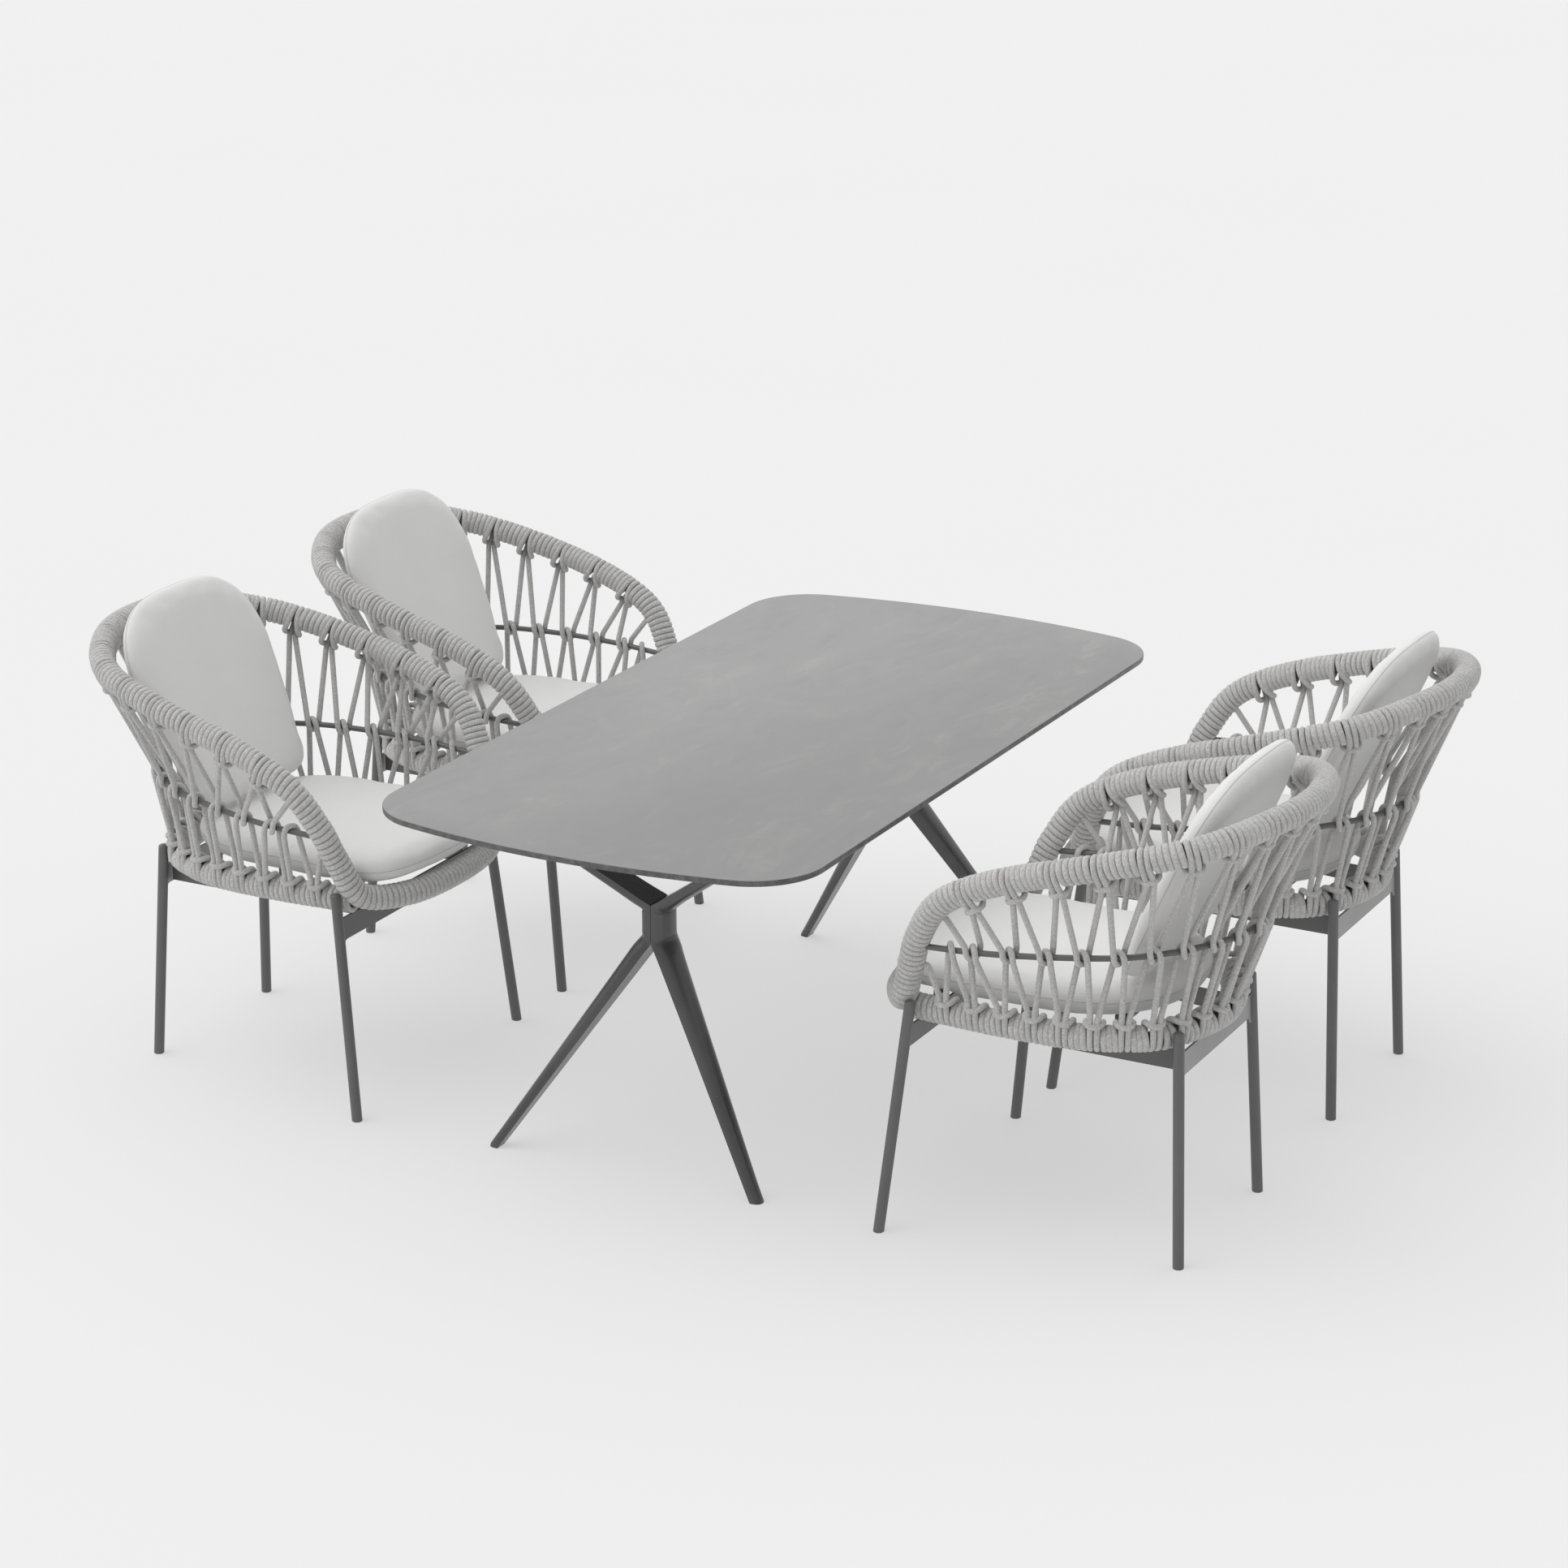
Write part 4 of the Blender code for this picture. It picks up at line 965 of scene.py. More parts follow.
@dataclass
class Ropework:
    """The rope of a chair: turns wound on the hoop and the seat ring, hitches and the zigzag lacing."""

    lines: ShellLines
    material: bpy.types.Material
    rope_radius: float = 0.0060
    turn_pitch: float = 0.0128
    tightness: float = 0.30
    turn_centre: float = 0.0203
    turn_half_width: float = 0.0063
    turn_half_thickness: float = 0.0060
    turn_tilt: float = 0.0020
    turn_unevenness: float = 0.08
    turn_proud: float = 0.00012
    turn_map_shift: float = 0.0371
    turn_steps: int = 30
    section_sides: int = 12
    flatness: float = 0.70
    roundness: float = 0.85
    hitch_half: float = 0.0126
    rail_clear: float = 0.0114
    path_step: float = 0.0036
    path_softness: float = 0.0030
    hitch_steps: int = 6
    lower_aim_shift: float = -0.020
    tuck_depths: tuple[float, float, float] = (0.010, 0.022, 0.034)
    rail_turn: tuple[tuple[float, float, float], ...] = (
        # along the rail, then across it and past it as shares of rail_clear
        (-0.0055, 1.0, -1.1), (-0.0035, 1.0, 0.15), (0.0, 0.72, 0.85), (0.0050, 0.0, 1.05),
        (0.0105, -0.72, 0.85), (0.0140, -1.0, 0.15), (0.0160, -1.0, -1.1),
    )
    upper_bays: int = 10
    crowding: float = 0.13
    upper_start: float = 0.500
    lower_start: float = 0.370
    first_hoop_knot: float = 0.608
    first_ring_knot: float = 0.060
    first_rail_turn: float = 0.101
    last_rail_turn: float = 0.020
    first_lower_turn: float = 0.055
    lower_turn_shift: float = 0.001
    ring_reach: float = 0.016
    hitch: tuple[tuple[float, float, float], ...] = (
        # along the tube, degrees round it from the rail's side, distance from its centre line
        (-0.0064, 16.0, 0.0440), (-0.0064, 34.0, 0.0300), (-0.0064, 62.0, 0.0222),
        (-0.0064, 110.0, 0.0206), (-0.0064, 180.0, 0.0204), (-0.0067, 240.0, 0.0206),
        (-0.0085, 288.0, 0.0220), (-0.0120, 322.0, 0.0262), (-0.0158, 346.0, 0.0318),
        (-0.0168, 366.0, 0.0362), (-0.0130, 382.0, 0.0388), (-0.0066, 389.0, 0.0400),
        (0.0, 391.0, 0.0404),
    )
    hoop: SpaceCurve = field(init=False)
    ring: SpaceCurve = field(init=False)
    rail: SpaceCurve = field(init=False)

    def __post_init__(self) -> None:
        """Draws the three centre lines and the places of the hitches and rail turns on one side."""
        self.hoop, self.ring, self.rail = self.lines.hoop(), self.lines.ring(), self.lines.rail()
        self.hoop_knots = self.stations(self.first_hoop_knot, self.hoop.length / 2, self.upper_bays)
        self.ring_knots = self.stations(self.first_ring_knot, self.ring.length / 2, self.upper_bays + 2)
        self.rail_turns = self.stations(self.first_rail_turn, self.rail.length / 2 - self.last_rail_turn,
                                        self.upper_bays)

    def stations(self, first: float, last: float, count: int) -> list[float]:
        """Distances along a curve that crowd a little towards the last."""
        shares = np.linspace(0, 1, count)
        return [first + (last - first) * share * (1 + self.crowding * (1 - share)) for share in shares]

    def turn_centres(self, curve: SpaceCurve, knots: list[float], start: float, end: float) -> np.ndarray:
        """Where the plain turns of rope lie between the hitches.

        Args:
            curve: the wound tube.
            knots: the hitches of one side.
            start: where the winding starts.
            end: where it ends.

        Returns:
            Distances along the curve.
        """
        both = knots + [curve.length - knot for knot in reversed(knots[:-1])]
        sides = [edge for knot in both for edge in (knot - self.hitch_half, knot + self.hitch_half)]
        edges = [start] + sides + [end]
        centres = []
        for low, high in zip(edges[::2], edges[1::2]):
            count = max(1, round((high - low) / self.turn_pitch + self.tightness))
            centres += [low + (high - low) * (k + 0.5) / count for k in range(count)]
        return np.array(centres)

    def wind(self, name: str, curve: SpaceCurve, centres: np.ndarray) -> Strands:
        """Turns of rope round a tube, each pressed a little square by its neighbours.

        Args:
            name: the mesh's name.
            curve: the tube's centre line.
            centres: where the turns lie.

        Returns:
            The strands.
        """
        theta = np.arange(self.turn_steps) * 2 * math.pi / self.turn_steps
        phi = np.arange(self.section_sides) * 2 * math.pi / self.section_sides
        bulge = np.sign(np.sin(phi)) * np.abs(np.sin(phi)) ** self.roundness
        spread = np.sign(np.cos(phi)) * np.abs(np.cos(phi)) ** self.flatness
        strands = Strands(name)
        around = np.arange(self.section_sides + 1) * 2 * math.pi * self.rope_radius / self.section_sides
        lay = np.arange(self.turn_steps + 1) * 2 * math.pi * self.turn_centre / self.turn_steps
        wobble = np.random.default_rng(7)
        for index, centre in enumerate(centres):
            lean = self.turn_tilt * (1 + self.turn_unevenness * wobble.standard_normal())
            proud = self.turn_proud * wobble.standard_normal()
            along = centre + self.turn_half_width * spread[None, :] + lean * np.sin(theta)[:, None]
            flat = along.ravel()
            level, ahead = curve.across(flat), curve.heading(flat)
            high = np.cross(level, ahead)
            angle = np.repeat(theta, self.section_sides)[:, None]
            radial = level * np.cos(angle) + high * np.sin(angle)
            thick = np.tile(self.turn_half_thickness * bulge, self.turn_steps)[:, None]
            points = curve.at(flat) + radial * (self.turn_centre + proud + thick)
            shaped = points.reshape(self.turn_steps, self.section_sides, 3)
            shifted = lay + index * self.turn_map_shift
            strands.grid(shaped, np.stack(np.meshgrid(shifted, around, indexing="ij"), axis=-1), closed=True)
        return strands

    def hitch_points(self, curve: SpaceCurve, at: float, towards: np.ndarray
                     ) -> tuple[list[np.ndarray], list[np.ndarray]]:
        """A hitch on a tube: up under the bar, once round the tube and out to the bar's middle, and back.

        Args:
            curve: the tube's centre line.
            at: where the hitch sits.
            towards: a point that its strands lead to.

        Returns:
            The points of the half that comes first, and those of the other, which mirrors it.
        """
        heading = curve.heading(at)
        down = towards - curve.at(at)
        down = unit(down - heading * down.dot(heading))
        out = np.cross(heading, down)
        out = out if out.dot(curve.outward(at)) > 0 else -out
        table = np.array(self.hitch)
        shares = np.linspace(0, len(table) - 1, self.hitch_steps * len(table))
        along, degrees, far = (np.interp(shares, np.arange(len(table)), column) for column in table.T)
        angle = np.radians(degrees)[:, None]
        offsets = far[:, None] * (np.cos(angle) * down + np.sin(angle) * out)
        before = curve.at(at + along) + offsets
        after = curve.at(at - along) + offsets
        return list(before), list(after[::-1])

    def rail_points(self, at: float, first: Side, above: bool) -> list[np.ndarray]:
        """The rope's turn round the middle rail.

        Args:
            at: distance along the rail.
            first: the face that the rope passes first.
            above: True where the rope comes from above and turns under the rail.

        Returns:
            The points of the turn.
        """
        past = -1.0 if above else 1.0
        out, up = self.rail.outward(at), np.array([0.0, 0.0, 1.0])
        clear = self.rail_clear
        return [self.rail.at(at + along) + out * (side * first.value * clear) + up * (past * rise * clear)
                for along, side, rise in self.rail_turn]

    def tuck(self, at: float) -> list[np.ndarray]:
        """The start of a lacing, tucked between the turns on the hoop's front rise."""
        inward = np.array([0.0, -1.0, 0.0])
        return [self.hoop.at(at) + inward * far for far in self.tuck_depths]

    def lacing(self, name: str, above: bool) -> Strands:
        """One whole lacing, hitched and looped from one front rise round to the other.

        Args:
            name: the mesh's name.
            above: True for the lacing between the hoop and the rail, False for the one below it.

        Returns:
            The strands.
        """
        curve, knots = (self.hoop, self.hoop_knots) if above else (self.ring, self.ring_knots)
        turns = list(self.rail_turns)
        if not above:
            turns = [self.first_lower_turn] + [turn + self.lower_turn_shift for turn in turns]
        first = Side.OUTSIDE if above else Side.INSIDE
        points = self.tuck(self.upper_start if above else self.lower_start)
        for index, knot in enumerate(knots):
            if above:
                points += self.rail_points(turns[index], first, above)
            aim = turns[min(index, len(turns) - 1)] if index + 1 < len(knots) else self.rail.length / 2
            aim += 0.0 if above else self.lower_aim_shift
            before, after = self.hitch_points(curve, knot, self.rail.at(aim))
            points += before
            if index + 1 == len(knots):
                break
            points += after
            if not above:
                points += self.rail_points(turns[index], first, above)
        half = np.array(points)
        whole = np.vstack([half, half[::-1][1:] * np.array([-1.0, 1.0, 1.0])])
        strands = Strands(name)
        path = smoothed(whole, self.path_step, self.path_softness)
        strands.sweep(path, self.rope_radius, self.section_sides)
        return strands

    def build(self) -> dict[str, bpy.types.Mesh]:
        """Returns the meshes of the four ropes, by the node that each stands for."""
        hoop_turns = self.turn_centres(self.hoop, self.hoop_knots, 0.0, self.hoop.length)
        ring_turns = self.turn_centres(self.ring, self.ring_knots, -self.ring_reach,
                                       self.ring.length + self.ring_reach)
        return {
            "hoop_wrap": self.wind("hoop_rope", self.hoop, hoop_turns).mesh(self.material),
            "seat_ring_wrap": self.wind("ring_rope", self.ring, ring_turns).mesh(self.material),
            "upper_lacing": self.lacing("upper_rope", True).mesh(self.material),
            "lower_lacing": self.lacing("lower_rope", False).mesh(self.material),
        }


@dataclass
class ChairFrame:
    """The bare metal of a chair: the middle rail and the two leg frames."""

    lines: ShellLines
    material: bpy.types.Material
    # painted light: the lighter copy of the powder coat that the rear apron takes, for the light that falls
    # on it
    plate: bpy.types.Material
    rail_radius: float = 0.0060
    leg_radius: float = 0.0110
    leg_sides: int = 28
    front_foot: tuple[float, float] = (0.316, 0.289)
    front_top: tuple[float, float, float] = (0.2900, 0.2380, 0.480)
    rear_foot: tuple[float, float] = (0.202, -0.289)
    rear_top: tuple[float, float, float] = (0.1800, -0.2660, 0.470)
    wrap_radius: float = 0.0265
    apron_gap: float = 0.002
    apron_height: float = 0.045
    apron_thickness: float = 0.005
    web: float = 0.014
    web_steps: int = 7
    foot_chamfer: float = 0.0012
    dome_share: float = 0.55
    dome_steps: int = 8
    dome_end: float = math.radians(84)
    rail_steps: int = 150
    rail_sides: int = 18
    sharp: float = 34.0

    def rail_mesh(self) -> bpy.types.Mesh:
        """The round middle rail, end to end."""
        rail = self.lines.rail()
        strands = Strands("mid_rail")
        path = rail.at(np.linspace(0.0, rail.length, self.rail_steps))
        strands.sweep(path, self.rail_radius, self.rail_sides)
        return strands.mesh(self.material)

    def leg_rings(self, foot: Sequence[float], top: Sequence[float], sign: float) -> list[list[np.ndarray]]:
        """Rings up one leg: a chamfered flat foot, a straight tube and a domed top.

        Args:
            foot: the +X leg's foot, as X and Y.
            top: its top.
            sign: 1 for the +X leg and -1 for the other.

        Returns:
            The rings, from the floor up.
        """
        low = np.array([sign * foot[0], foot[1], 0.0])
        high = np.array([sign * top[0], top[1], top[2]])
        along = unit(high - low)
        radius, length = self.leg_radius, high[2]
        levels = [(0.0, radius - self.foot_chamfer), (self.foot_chamfer, radius)]
        dome = radius * self.dome_share
        for angle in np.linspace(0, self.dome_end, self.dome_steps):
            levels.append((length - dome * (1 - math.sin(angle)), radius * math.cos(angle) ** 0.8))
        turns = np.arange(self.leg_sides) * 2 * math.pi / self.leg_sides
        return [[low + along * (level / along[2]) + np.array([size * math.cos(a), size * math.sin(a), 0.0])
                 for a in turns] for level, size in levels]

    def apron_rings(self, foot: Sequence[float], top: Sequence[float]
                    ) -> list[list[tuple[float, float, float]]]:
        """The apron's two faces, with a hollow fillet below it at each leg.

        Args:
            foot: the +X leg's foot, as X and Y.
            top: its top.

        Returns:
            The outline of each face.
        """
        low, high = np.array([foot[0], foot[1], 0.0]), np.array([top[0], top[1], top[2]])
        upper = self.lines.seat_rail_height - self.wrap_radius - self.apron_gap
        lower = upper - self.apron_height

        def leg_at(z: float) -> np.ndarray:
            """The leg's centre at a height."""
            return low + (high - low) * (z / high[2])

        edge = self.leg_radius * 0.95
        foot_of_web = lower - self.web
        outline = [(leg_at(z)[0] - edge * 0.4, z) for z in (upper, foot_of_web)]
        for angle in np.linspace(0, math.pi / 2, self.web_steps):
            centre_x = leg_at(lower)[0] - edge - self.web
            outline.append((centre_x + self.web * math.cos(angle), foot_of_web + self.web * math.sin(angle)))
        outline += [(-x, z) for x, z in reversed(outline)]
        return [[(x, leg_at(z)[1] + side * self.apron_thickness / 2, z) for x, z in outline]
                for side in (-1, 1)]

    def leg_frame_mesh(self, name: str, foot: Sequence[float], top: Sequence[float],
                       apron: bpy.types.Material) -> bpy.types.Mesh:
        """Two legs and the apron between them.

        Args:
            name: the mesh's name.
            foot: the +X leg's foot, as X and Y.
            top: its top.
            apron: the apron's finish; the rear apron's is the coating made lighter with painted light.

        Returns:
            The mesh.
        """
        bm = bmesh.new()
        for sign in (1.0, -1.0):
            add_rings(bm, self.leg_rings(foot, top, sign))
        legs = len(bm.faces)
        add_rings(bm, self.apron_rings(foot, top))
        mesh = mesh_of(bm, name, self.sharp)
        mesh.materials.append(self.material)
        mesh.materials.append(apron)
        for face in mesh.polygons[legs:]:
            face.material_index = 1
        return mesh

    def build(self) -> dict[str, bpy.types.Mesh]:
        """Returns the meshes, by the node that each stands for."""
        return {
            "middle_rail": self.rail_mesh(),
            "front_leg_frame": self.leg_frame_mesh("front_legs", self.front_foot, self.front_top,
                                                   self.material),
            # The rear apron takes the plate finish, a lighter copy of the coating that paints light onto it.
            "rear_leg_frame": self.leg_frame_mesh("rear_legs", self.rear_foot, self.rear_top, self.plate),
        }


# ---------------------------------------------------------------- cushions


@dataclass
class Cushion:
    """A filled cushion, made flat in its own plane, blown up as cloth and then laid in the chair.

    Its plane is X across and Y along it, and Z is its thickness.
    """

    name: str
    outline: Callable[[float], list[tuple[float, float]]]
    lay: Matrix
    thickness: float
    material: bpy.types.Material
    seam_material: bpy.types.Material
    under_rounding: float = 1.0
    rim_sag: float = 0.0
    sag_front: float = 0.200
    rim_width: float = 0.030
    start_share: float = 0.94
    shrink: float = 0.003
    voxel: float = 0.0060
    pressure: float = 2.0
    frames: int = 16
    most_move: float = 0.004
    cloth_quality: int = 4
    cloth_mass: float = 0.25
    cloth_stiffness: float = 18.0
    cloth_bending: float = 4.0
    rest_share: float = 0.86
    rest_squash: float = 0.25
    smoothing: int = 14
    seam_radius: float = 0.0014
    seam_step: float = 0.006
    seam_reach: float = 0.05
    seam_sunk: float = 0.0006
    rounding: int = 9

    def start_mesh(self) -> bpy.types.Mesh:
        """The unblown form: a soft-edged slab of the cushion's outline."""
        half = self.thickness * self.start_share / 2
        rings = []
        for angle in np.linspace(-math.pi / 2, math.pi / 2, self.rounding):
            share = self.under_rounding if angle < 0 else 1.0
            grow = -self.shrink - half * share * (1 - math.cos(angle))
            rings.append([(x, y, half * math.sin(angle)) for x, y in self.outline(grow)])
        return mesh_of_rings(self.name, rings, 180.0)

    def remesh(self, obj: bpy.types.Object) -> None:
        """Gives the form an even skin for the cloth.

        Args:
            obj: the cushion's object.
        """
        modifier = obj.modifiers.new("even", "REMESH")
        modifier.mode = "VOXEL"
        modifier.voxel_size = self.voxel
        self.apply(obj)

    @staticmethod
    def apply(obj: bpy.types.Object) -> None:
        """Replaces an object's mesh with its evaluated one.

        Args:
            obj: the object, whose modifiers go.
        """
        graph = bpy.context.evaluated_depsgraph_get()
        graph.update()
        made = bpy.data.meshes.new_from_object(obj.evaluated_get(graph))
        obj.modifiers.clear()
        obj.data = made

    def blow_up(self, obj: bpy.types.Object) -> None:
        """Runs the cloth and keeps its result, with each point's move capped.

        Args:
            obj: the cushion's object.
        """
        start = np.array([vertex.co for vertex in obj.data.vertices])
        modifier = obj.modifiers.new("cloth", "CLOTH")
        modifier.settings.quality = self.cloth_quality
        modifier.settings.mass = self.cloth_mass
        modifier.settings.tension_stiffness = self.cloth_stiffness
        modifier.settings.compression_stiffness = self.cloth_stiffness
        modifier.settings.bending_stiffness = self.cloth_bending
        modifier.settings.use_pressure = True
        modifier.settings.uniform_pressure_force = self.pressure
        modifier.settings.effector_weights.gravity = 0.0
        modifier.point_cache.frame_start = 1
        modifier.point_cache.frame_end = self.frames
        for step in range(1, self.frames + 1):
            bpy.context.scene.frame_set(step)
        self.apply(obj)
        bpy.context.scene.frame_set(1)
        moved = np.array([vertex.co for vertex in obj.data.vertices])
        shift = moved - start
        size = np.linalg.norm(shift, axis=1, keepdims=True)
        capped = start + shift * np.minimum(1.0, self.most_move / np.maximum(size, 1e-9))
        obj.data.vertices.foreach_set("co", capped.astype(np.float32).ravel())

    def settle(self, obj: bpy.types.Object) -> None:
        """Fits the blown form to the cushion's real thickness and outline, flat where it rests.

        Args:
            obj: the cushion's object.
        """
        points = np.array([vertex.co for vertex in obj.data.vertices])
        plan = np.array(self.outline(0.0))
        low, high = points.min(axis=0), points.max(axis=0)
        for axis in (0, 1):
            near, far = plan[:, axis].min(), plan[:, axis].max()
            points[:, axis] = near + (points[:, axis] - low[axis]) * (far - near) / (high[axis] - low[axis])
        points[:, 2] = (points[:, 2] - low[2]) * self.thickness / (high[2] - low[2]) - self.thickness / 2
        rest = -self.thickness / 2 * self.rest_share
        squashed = rest + (points[:, 2] - rest) * self.rest_squash
        points[:, 2] = np.where(points[:, 2] < rest, squashed, points[:, 2])
        if self.rim_sag:
            edge = np.linalg.norm(points[:, None, :2] - plan[None, :, :], axis=2).min(axis=1)
            rim = np.clip(1.5 * (1 - edge / self.rim_width), 0.0, 1.0)
            low_side = np.clip(-2 * points[:, 2] / self.thickness, 0.0, 1.0)
            behind = np.clip((self.sag_front - points[:, 1]) / self.rim_width, 0.0, 1.0)
            points[:, 2] -= self.rim_sag * rim * low_side * behind
        obj.data.vertices.foreach_set("co", points.astype(np.float32).ravel())
        obj.data.update()

    def seam_mesh(self, skin: bpy.types.Mesh) -> bpy.types.Mesh:
        """The sewn edge, a fine cord that follows the blown skin halfway up its side.

        Args:
            skin: the cushion's skin.

        Returns:
            The cord's mesh.
        """
        tree = BVHTree.FromPolygons([vertex.co.copy() for vertex in skin.vertices],
                                    [list(face.vertices) for face in skin.polygons])
        plan = np.array(self.outline(0.0))
        closed = np.vstack([plan, plan[:1]])
        ring = smoothed(np.column_stack([closed, np.zeros(len(closed))]), self.seam_step, self.seam_step)
        centre = ring.mean(axis=0)
        points = []
        for point in ring:
            inward = Vector(centre - point).normalized()
            hit = tree.ray_cast(Vector(point) - inward * self.seam_reach, inward)[0]
            met = np.array(hit if hit is not None else Vector(point))
            points.append(met + np.array(inward) * self.seam_sunk)
        path = np.array(points)
        path[-1] = path[0]
        strands = Strands(self.name + "_seam")
        strands.sweep(path, self.seam_radius, 8)
        return strands.mesh(self.seam_material)

    def build(self) -> tuple[bpy.types.Mesh, bpy.types.Mesh]:
        """Returns the cushion's mesh and its seam's, laid in the chair's frame."""
        obj = in_scene(self.name, self.start_mesh())
        self.remesh(obj)
        self.blow_up(obj)
        self.settle(obj)
        smooth = obj.modifiers.new("smooth", "CORRECTIVE_SMOOTH")
        smooth.iterations = self.smoothing
        smooth.smooth_type = "LENGTH_WEIGHTED"
        smooth.use_only_smooth = True
        divide = obj.modifiers.new("divide", "SUBSURF")
        divide.levels = divide.render_levels = 1
        self.apply(obj)
        skin = obj.data
        bpy.data.objects.remove(obj)
        seam = self.seam_mesh(skin)
        for mesh in (skin, seam):
            mesh.transform(self.lay)
            mesh.shade_smooth()
        skin.materials.clear()
        skin.materials.append(self.material)
        return skin, seam


@dataclass
class CushionSet:
    """The seat cushion and the back cushion, as they lie in the chair's own frame."""

    finishes: Finishes
    seat_half_width: float = 0.233
    seat_front: float = 0.346
    seat_rear: float = -0.235
    seat_low: float = 0.4795
    seat_thickness: float = 0.062
    back_half_width: float = 0.230
    back_foot_half_width: float = 0.198
    back_height: float = 0.470
    back_thickness: float = 0.056
    back_foot_y: float = -0.1507
    back_lean: float = math.radians(25.2)
    gap: float = 0.0010
    seat_under_rounding: float = 0.4
    seat_rim_sag: float = 0.008

    @staticmethod
    def rounded(side: list[tuple[float, float]], steps: int = 160) -> list[tuple[float, float]]:
        """A smooth closed outline from the points of its +X side."""
        whole = side + [(-x, y) for x, y in reversed(side[1:-1])]
        curve = SpaceCurve([(x, y, 0.0) for x, y in whole], closed=True)
        return [tuple(point[:2]) for point in curve.at(np.arange(steps) * curve.length / steps)]

    def seat_outline(self, grow: float) -> list[tuple[float, float]]:
        """The seat cushion's plan: a bowed front, straight sides and a round rear.

        Args:
            grow: how far the plan is pushed out.

        Returns:
            The plan's points.
        """
        half, front, rear = self.seat_half_width + grow, self.seat_front + grow, self.seat_rear - grow
        return self.rounded([
            (0.0, front), (half * 0.55, front - 0.012), (half * 0.88, front - 0.040), (half, front - 0.100),
            (half, 0.060), (half * 0.97, -0.060), (half * 0.80, rear + 0.075), (half * 0.45, rear + 0.018),
            (0.0, rear),
        ])

    def back_outline(self, grow: float) -> list[tuple[float, float]]:
        """The back cushion's face: a narrow foot with round corners, widening to a full round top.

        Args:
            grow: how far the outline is pushed out.

        Returns:
            The outline's points.
        """
        foot, wide = self.back_foot_half_width + grow, self.back_half_width + grow
        low, high = -grow, self.back_height + grow
        return self.rounded([
            (0.0, low), (foot * 0.74, low), (foot * 0.95, low + 0.028), (foot, low + 0.075),
            (wide * 0.98, high * 0.55), (wide * 0.985, high * 0.72), (wide * 0.86, high * 0.87),
            (wide * 0.60, high * 0.965), (wide * 0.30, high * 0.995), (0.0, high),
        ])

    def build(self) -> dict[str, tuple[bpy.types.Mesh, bpy.types.Mesh]]:
        """Returns each cushion's skin and seam, by the node that it stands for."""
        seat_top = self.seat_low + self.seat_thickness
        seat_lay = Matrix.Translation((0.0, 0.0, self.seat_low + self.seat_thickness / 2))
        lift = seat_top + self.gap + self.back_thickness / 2 * math.sin(self.back_lean)
        back_lay = (Matrix.Translation((0.0, self.back_foot_y, lift))
                    @ Matrix.Rotation(math.pi / 2 + self.back_lean, 4, "X")
                    @ Matrix.Diagonal((1.0, 1.0, -1.0, 1.0)))
        cloth, cord = self.finishes.cushion, self.finishes.seam
        seat = Cushion("seat_pad", self.seat_outline, seat_lay, self.seat_thickness, cloth, cord,
                       under_rounding=self.seat_under_rounding, rim_sag=self.seat_rim_sag)
        back = Cushion("back_pad", self.back_outline, back_lay, self.back_thickness, cloth, cord)
        return {"seat_cushion": seat.build(), "back_cushion": back.build()}


# ---------------------------------------------------------------- chair


@dataclass
class Armchair:
    """One rope armchair, placed from its nodes in the frame."""

    name: str
    facing: Facing
    finishes: Finishes
    fill: float = 0.7

    def place(self) -> Matrix:
        """Where the chair's own frame stands: level with its hoop's middle, halfway between its feet."""
        low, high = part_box(f"{self.name}_hoop_wrap")
        ahead = 1.0 if self.facing is Facing.PLUS_Y else -1.0
        feet = [corner.y for node in ("front_leg_frame", "rear_leg_frame")
                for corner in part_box(f"{self.name}_{node}")]
        middle = ((low.x + high.x) / 2, (max(feet) + min(feet)) / 2, 0.0)
        LOG.info("%s faces %+.0f Y at %.3f, %.3f", self.name, ahead, middle[0], middle[1])
        return Matrix.Translation(middle) @ Matrix.Rotation(self.facing.value, 4, "Z")

    def build(self, shell: dict[str, bpy.types.Mesh],
              cushions: dict[str, tuple[bpy.types.Mesh, bpy.types.Mesh]]) -> None:
        """Puts the shared meshes in place as this chair's pieces.

        Args:
            shell: the meshes of the rope and the frame, by node.
            cushions: each cushion's skin and seam, by node.
        """
        place = self.place()
        for node, mesh in shell.items():
            slot = "rope" if node in ROPE_NODES else "coated_metal"
            piece(f"{self.name}_{mesh.name}", mesh, place, self.name, slot, f"{self.name}_{node}")
        for node, (skin, seam) in cushions.items():
            body = f"{node}_{self.name[-1]}"
            pad = piece(f"{self.name}_{skin.name}", skin, place, body, "cushion_fabric",
                        f"{self.name}_{node}")
            piece(f"{self.name}_{seam.name}", seam, place, body, "cushion_fabric")
        for node in ("hoop_tube", "seat_ring_tube", "seat_deck"):
            redress(f"{self.name}_{node}", self.finishes.coating)
        redress(f"{self.name}_seat_webbing", self.finishes.webbing)


# ---------------------------------------------------------------- studio


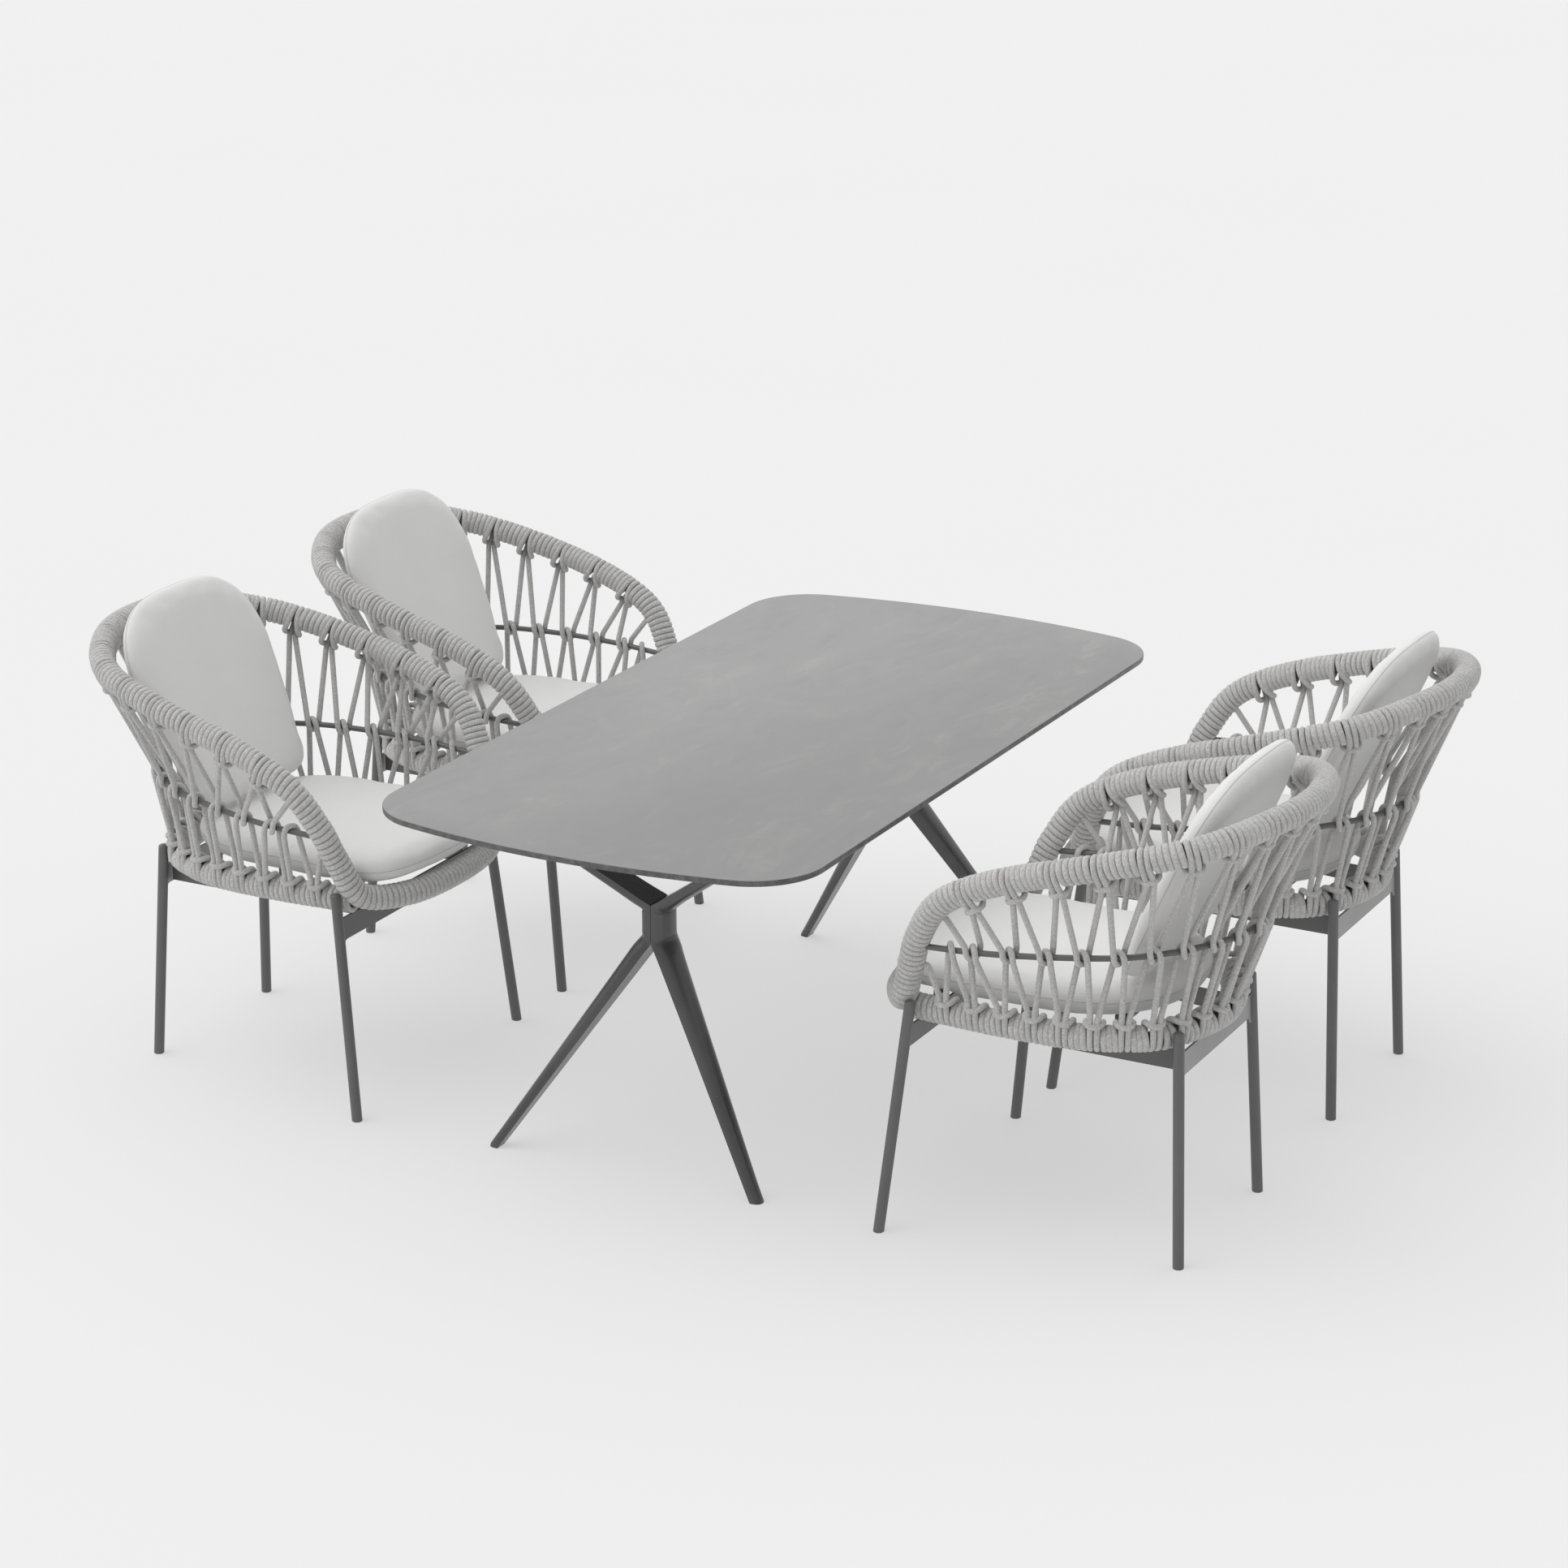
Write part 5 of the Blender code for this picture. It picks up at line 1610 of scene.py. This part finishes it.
@dataclass
class Studio:
    """The floor, the soft light and the camera."""

    aim_from: tuple[float, float, float] = (-7.3964, -3.8877, 3.4369)
    heading: float = 0.4839
    downward: float = 0.3256
    lens: float = 97.17
    sensor: float = 36.0
    floor_size: float = 90.0
    sky: float = 0.70
    sky_contrast: float = 0.62
    bright_side: tuple[float, float, float] = (0.66, 0.62, 0.42)
    sun: float = 1.00
    sun_spread: float = math.radians(70)
    sun_from: tuple[float, float, float] = (-2.2, 2.6, 5.0)

    def build_floor(self) -> None:
        """A plain pale floor."""
        bm = bmesh.new()
        bmesh.ops.create_grid(bm, x_segments=1, y_segments=1, size=self.floor_size / 2)
        mesh = bpy.data.meshes.new("floor")
        bm.to_mesh(mesh)
        bm.free()
        mesh.materials.append(FloorFinish().build())
        floor = in_scene("floor", mesh)

    def build_camera(self, middle_y: float) -> None:
        """The camera, placed from the middle of the table.

        Args:
            middle_y: the table's middle.
        """
        data = bpy.data.cameras.new("camera")
        data.lens = self.lens
        data.sensor_width = self.sensor
        data.clip_end = 200.0
        camera = in_scene("camera", data)
        flat = math.cos(self.downward)
        ahead = Vector((flat * math.cos(self.heading), flat * math.sin(self.heading),
                        -math.sin(self.downward)))
        camera.location = Vector(self.aim_from) + Vector((0.0, middle_y, 0.0))
        camera.rotation_euler = ahead.to_track_quat("-Z", "Y").to_euler()
        bpy.context.scene.camera = camera

    def build_light(self) -> None:
        """An even bright sky and one very soft sun."""
        world = bpy.data.worlds.new("sky")
        world.use_nodes = True
        nodes, links = world.node_tree.nodes, world.node_tree.links
        facing = nodes.new("ShaderNodeVectorMath")
        facing.operation = "DOT_PRODUCT"
        facing.inputs[1].default_value = self.bright_side
        strength = nodes.new("ShaderNodeMapRange")
        strength.inputs["From Min"].default_value = -1.0
        strength.inputs["To Min"].default_value = self.sky * (1 - self.sky_contrast)
        strength.inputs["To Max"].default_value = self.sky * (1 + self.sky_contrast)
        links.new(nodes.new("ShaderNodeTexCoord").outputs["Generated"], facing.inputs[0])
        links.new(facing.outputs["Value"], strength.inputs["Value"])
        links.new(strength.outputs["Result"], nodes["Background"].inputs["Strength"])
        nodes["Background"].inputs["Color"].default_value = (1.0, 1.0, 1.0, 1.0)
        bpy.context.scene.world = world
        data = bpy.data.lights.new("soft_sun", "SUN")
        data.energy = self.sun
        data.angle = self.sun_spread
        light = in_scene("soft_sun", data)
        light.rotation_euler = (-Vector(self.sun_from)).to_track_quat("-Z", "Y").to_euler()
        bpy.context.scene.view_settings.view_transform = "Standard"

    def build(self, middle_y: float) -> None:
        """Makes the studio."""
        self.build_floor()
        self.build_camera(middle_y)
        self.build_light()


def main() -> None:
    """Builds the studio, the table and the four chairs."""
    logging.basicConfig(level=logging.INFO, format="%(message)s")
    finishes = Finishes.build()
    table = DiningTable(finishes)
    Studio().build(table.middle_y)
    LOG.info("studio")
    table.build()
    lines = ShellLines()
    shell = {**Ropework(lines, finishes.rope).build(),
             **ChairFrame(lines, finishes.coating, finishes.plate).build()}
    for node, mesh in shell.items():
        LOG.info("%s: %d faces", node, len(mesh.polygons))
    cushions = CushionSet(finishes).build()
    for node, (skin, _) in cushions.items():
        LOG.info("%s: %d faces", node, len(skin.polygons))
    for number in range(1, 5):
        name = f"chair_{number}"
        faces_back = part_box(f"{name}_hoop_wrap")[0].y > 0
        Armchair(name, Facing.MINUS_Y if faces_back else Facing.PLUS_Y, finishes).build(shell, cushions)
        LOG.info("%s is in place", name)


if __name__ == "__main__":
    main()
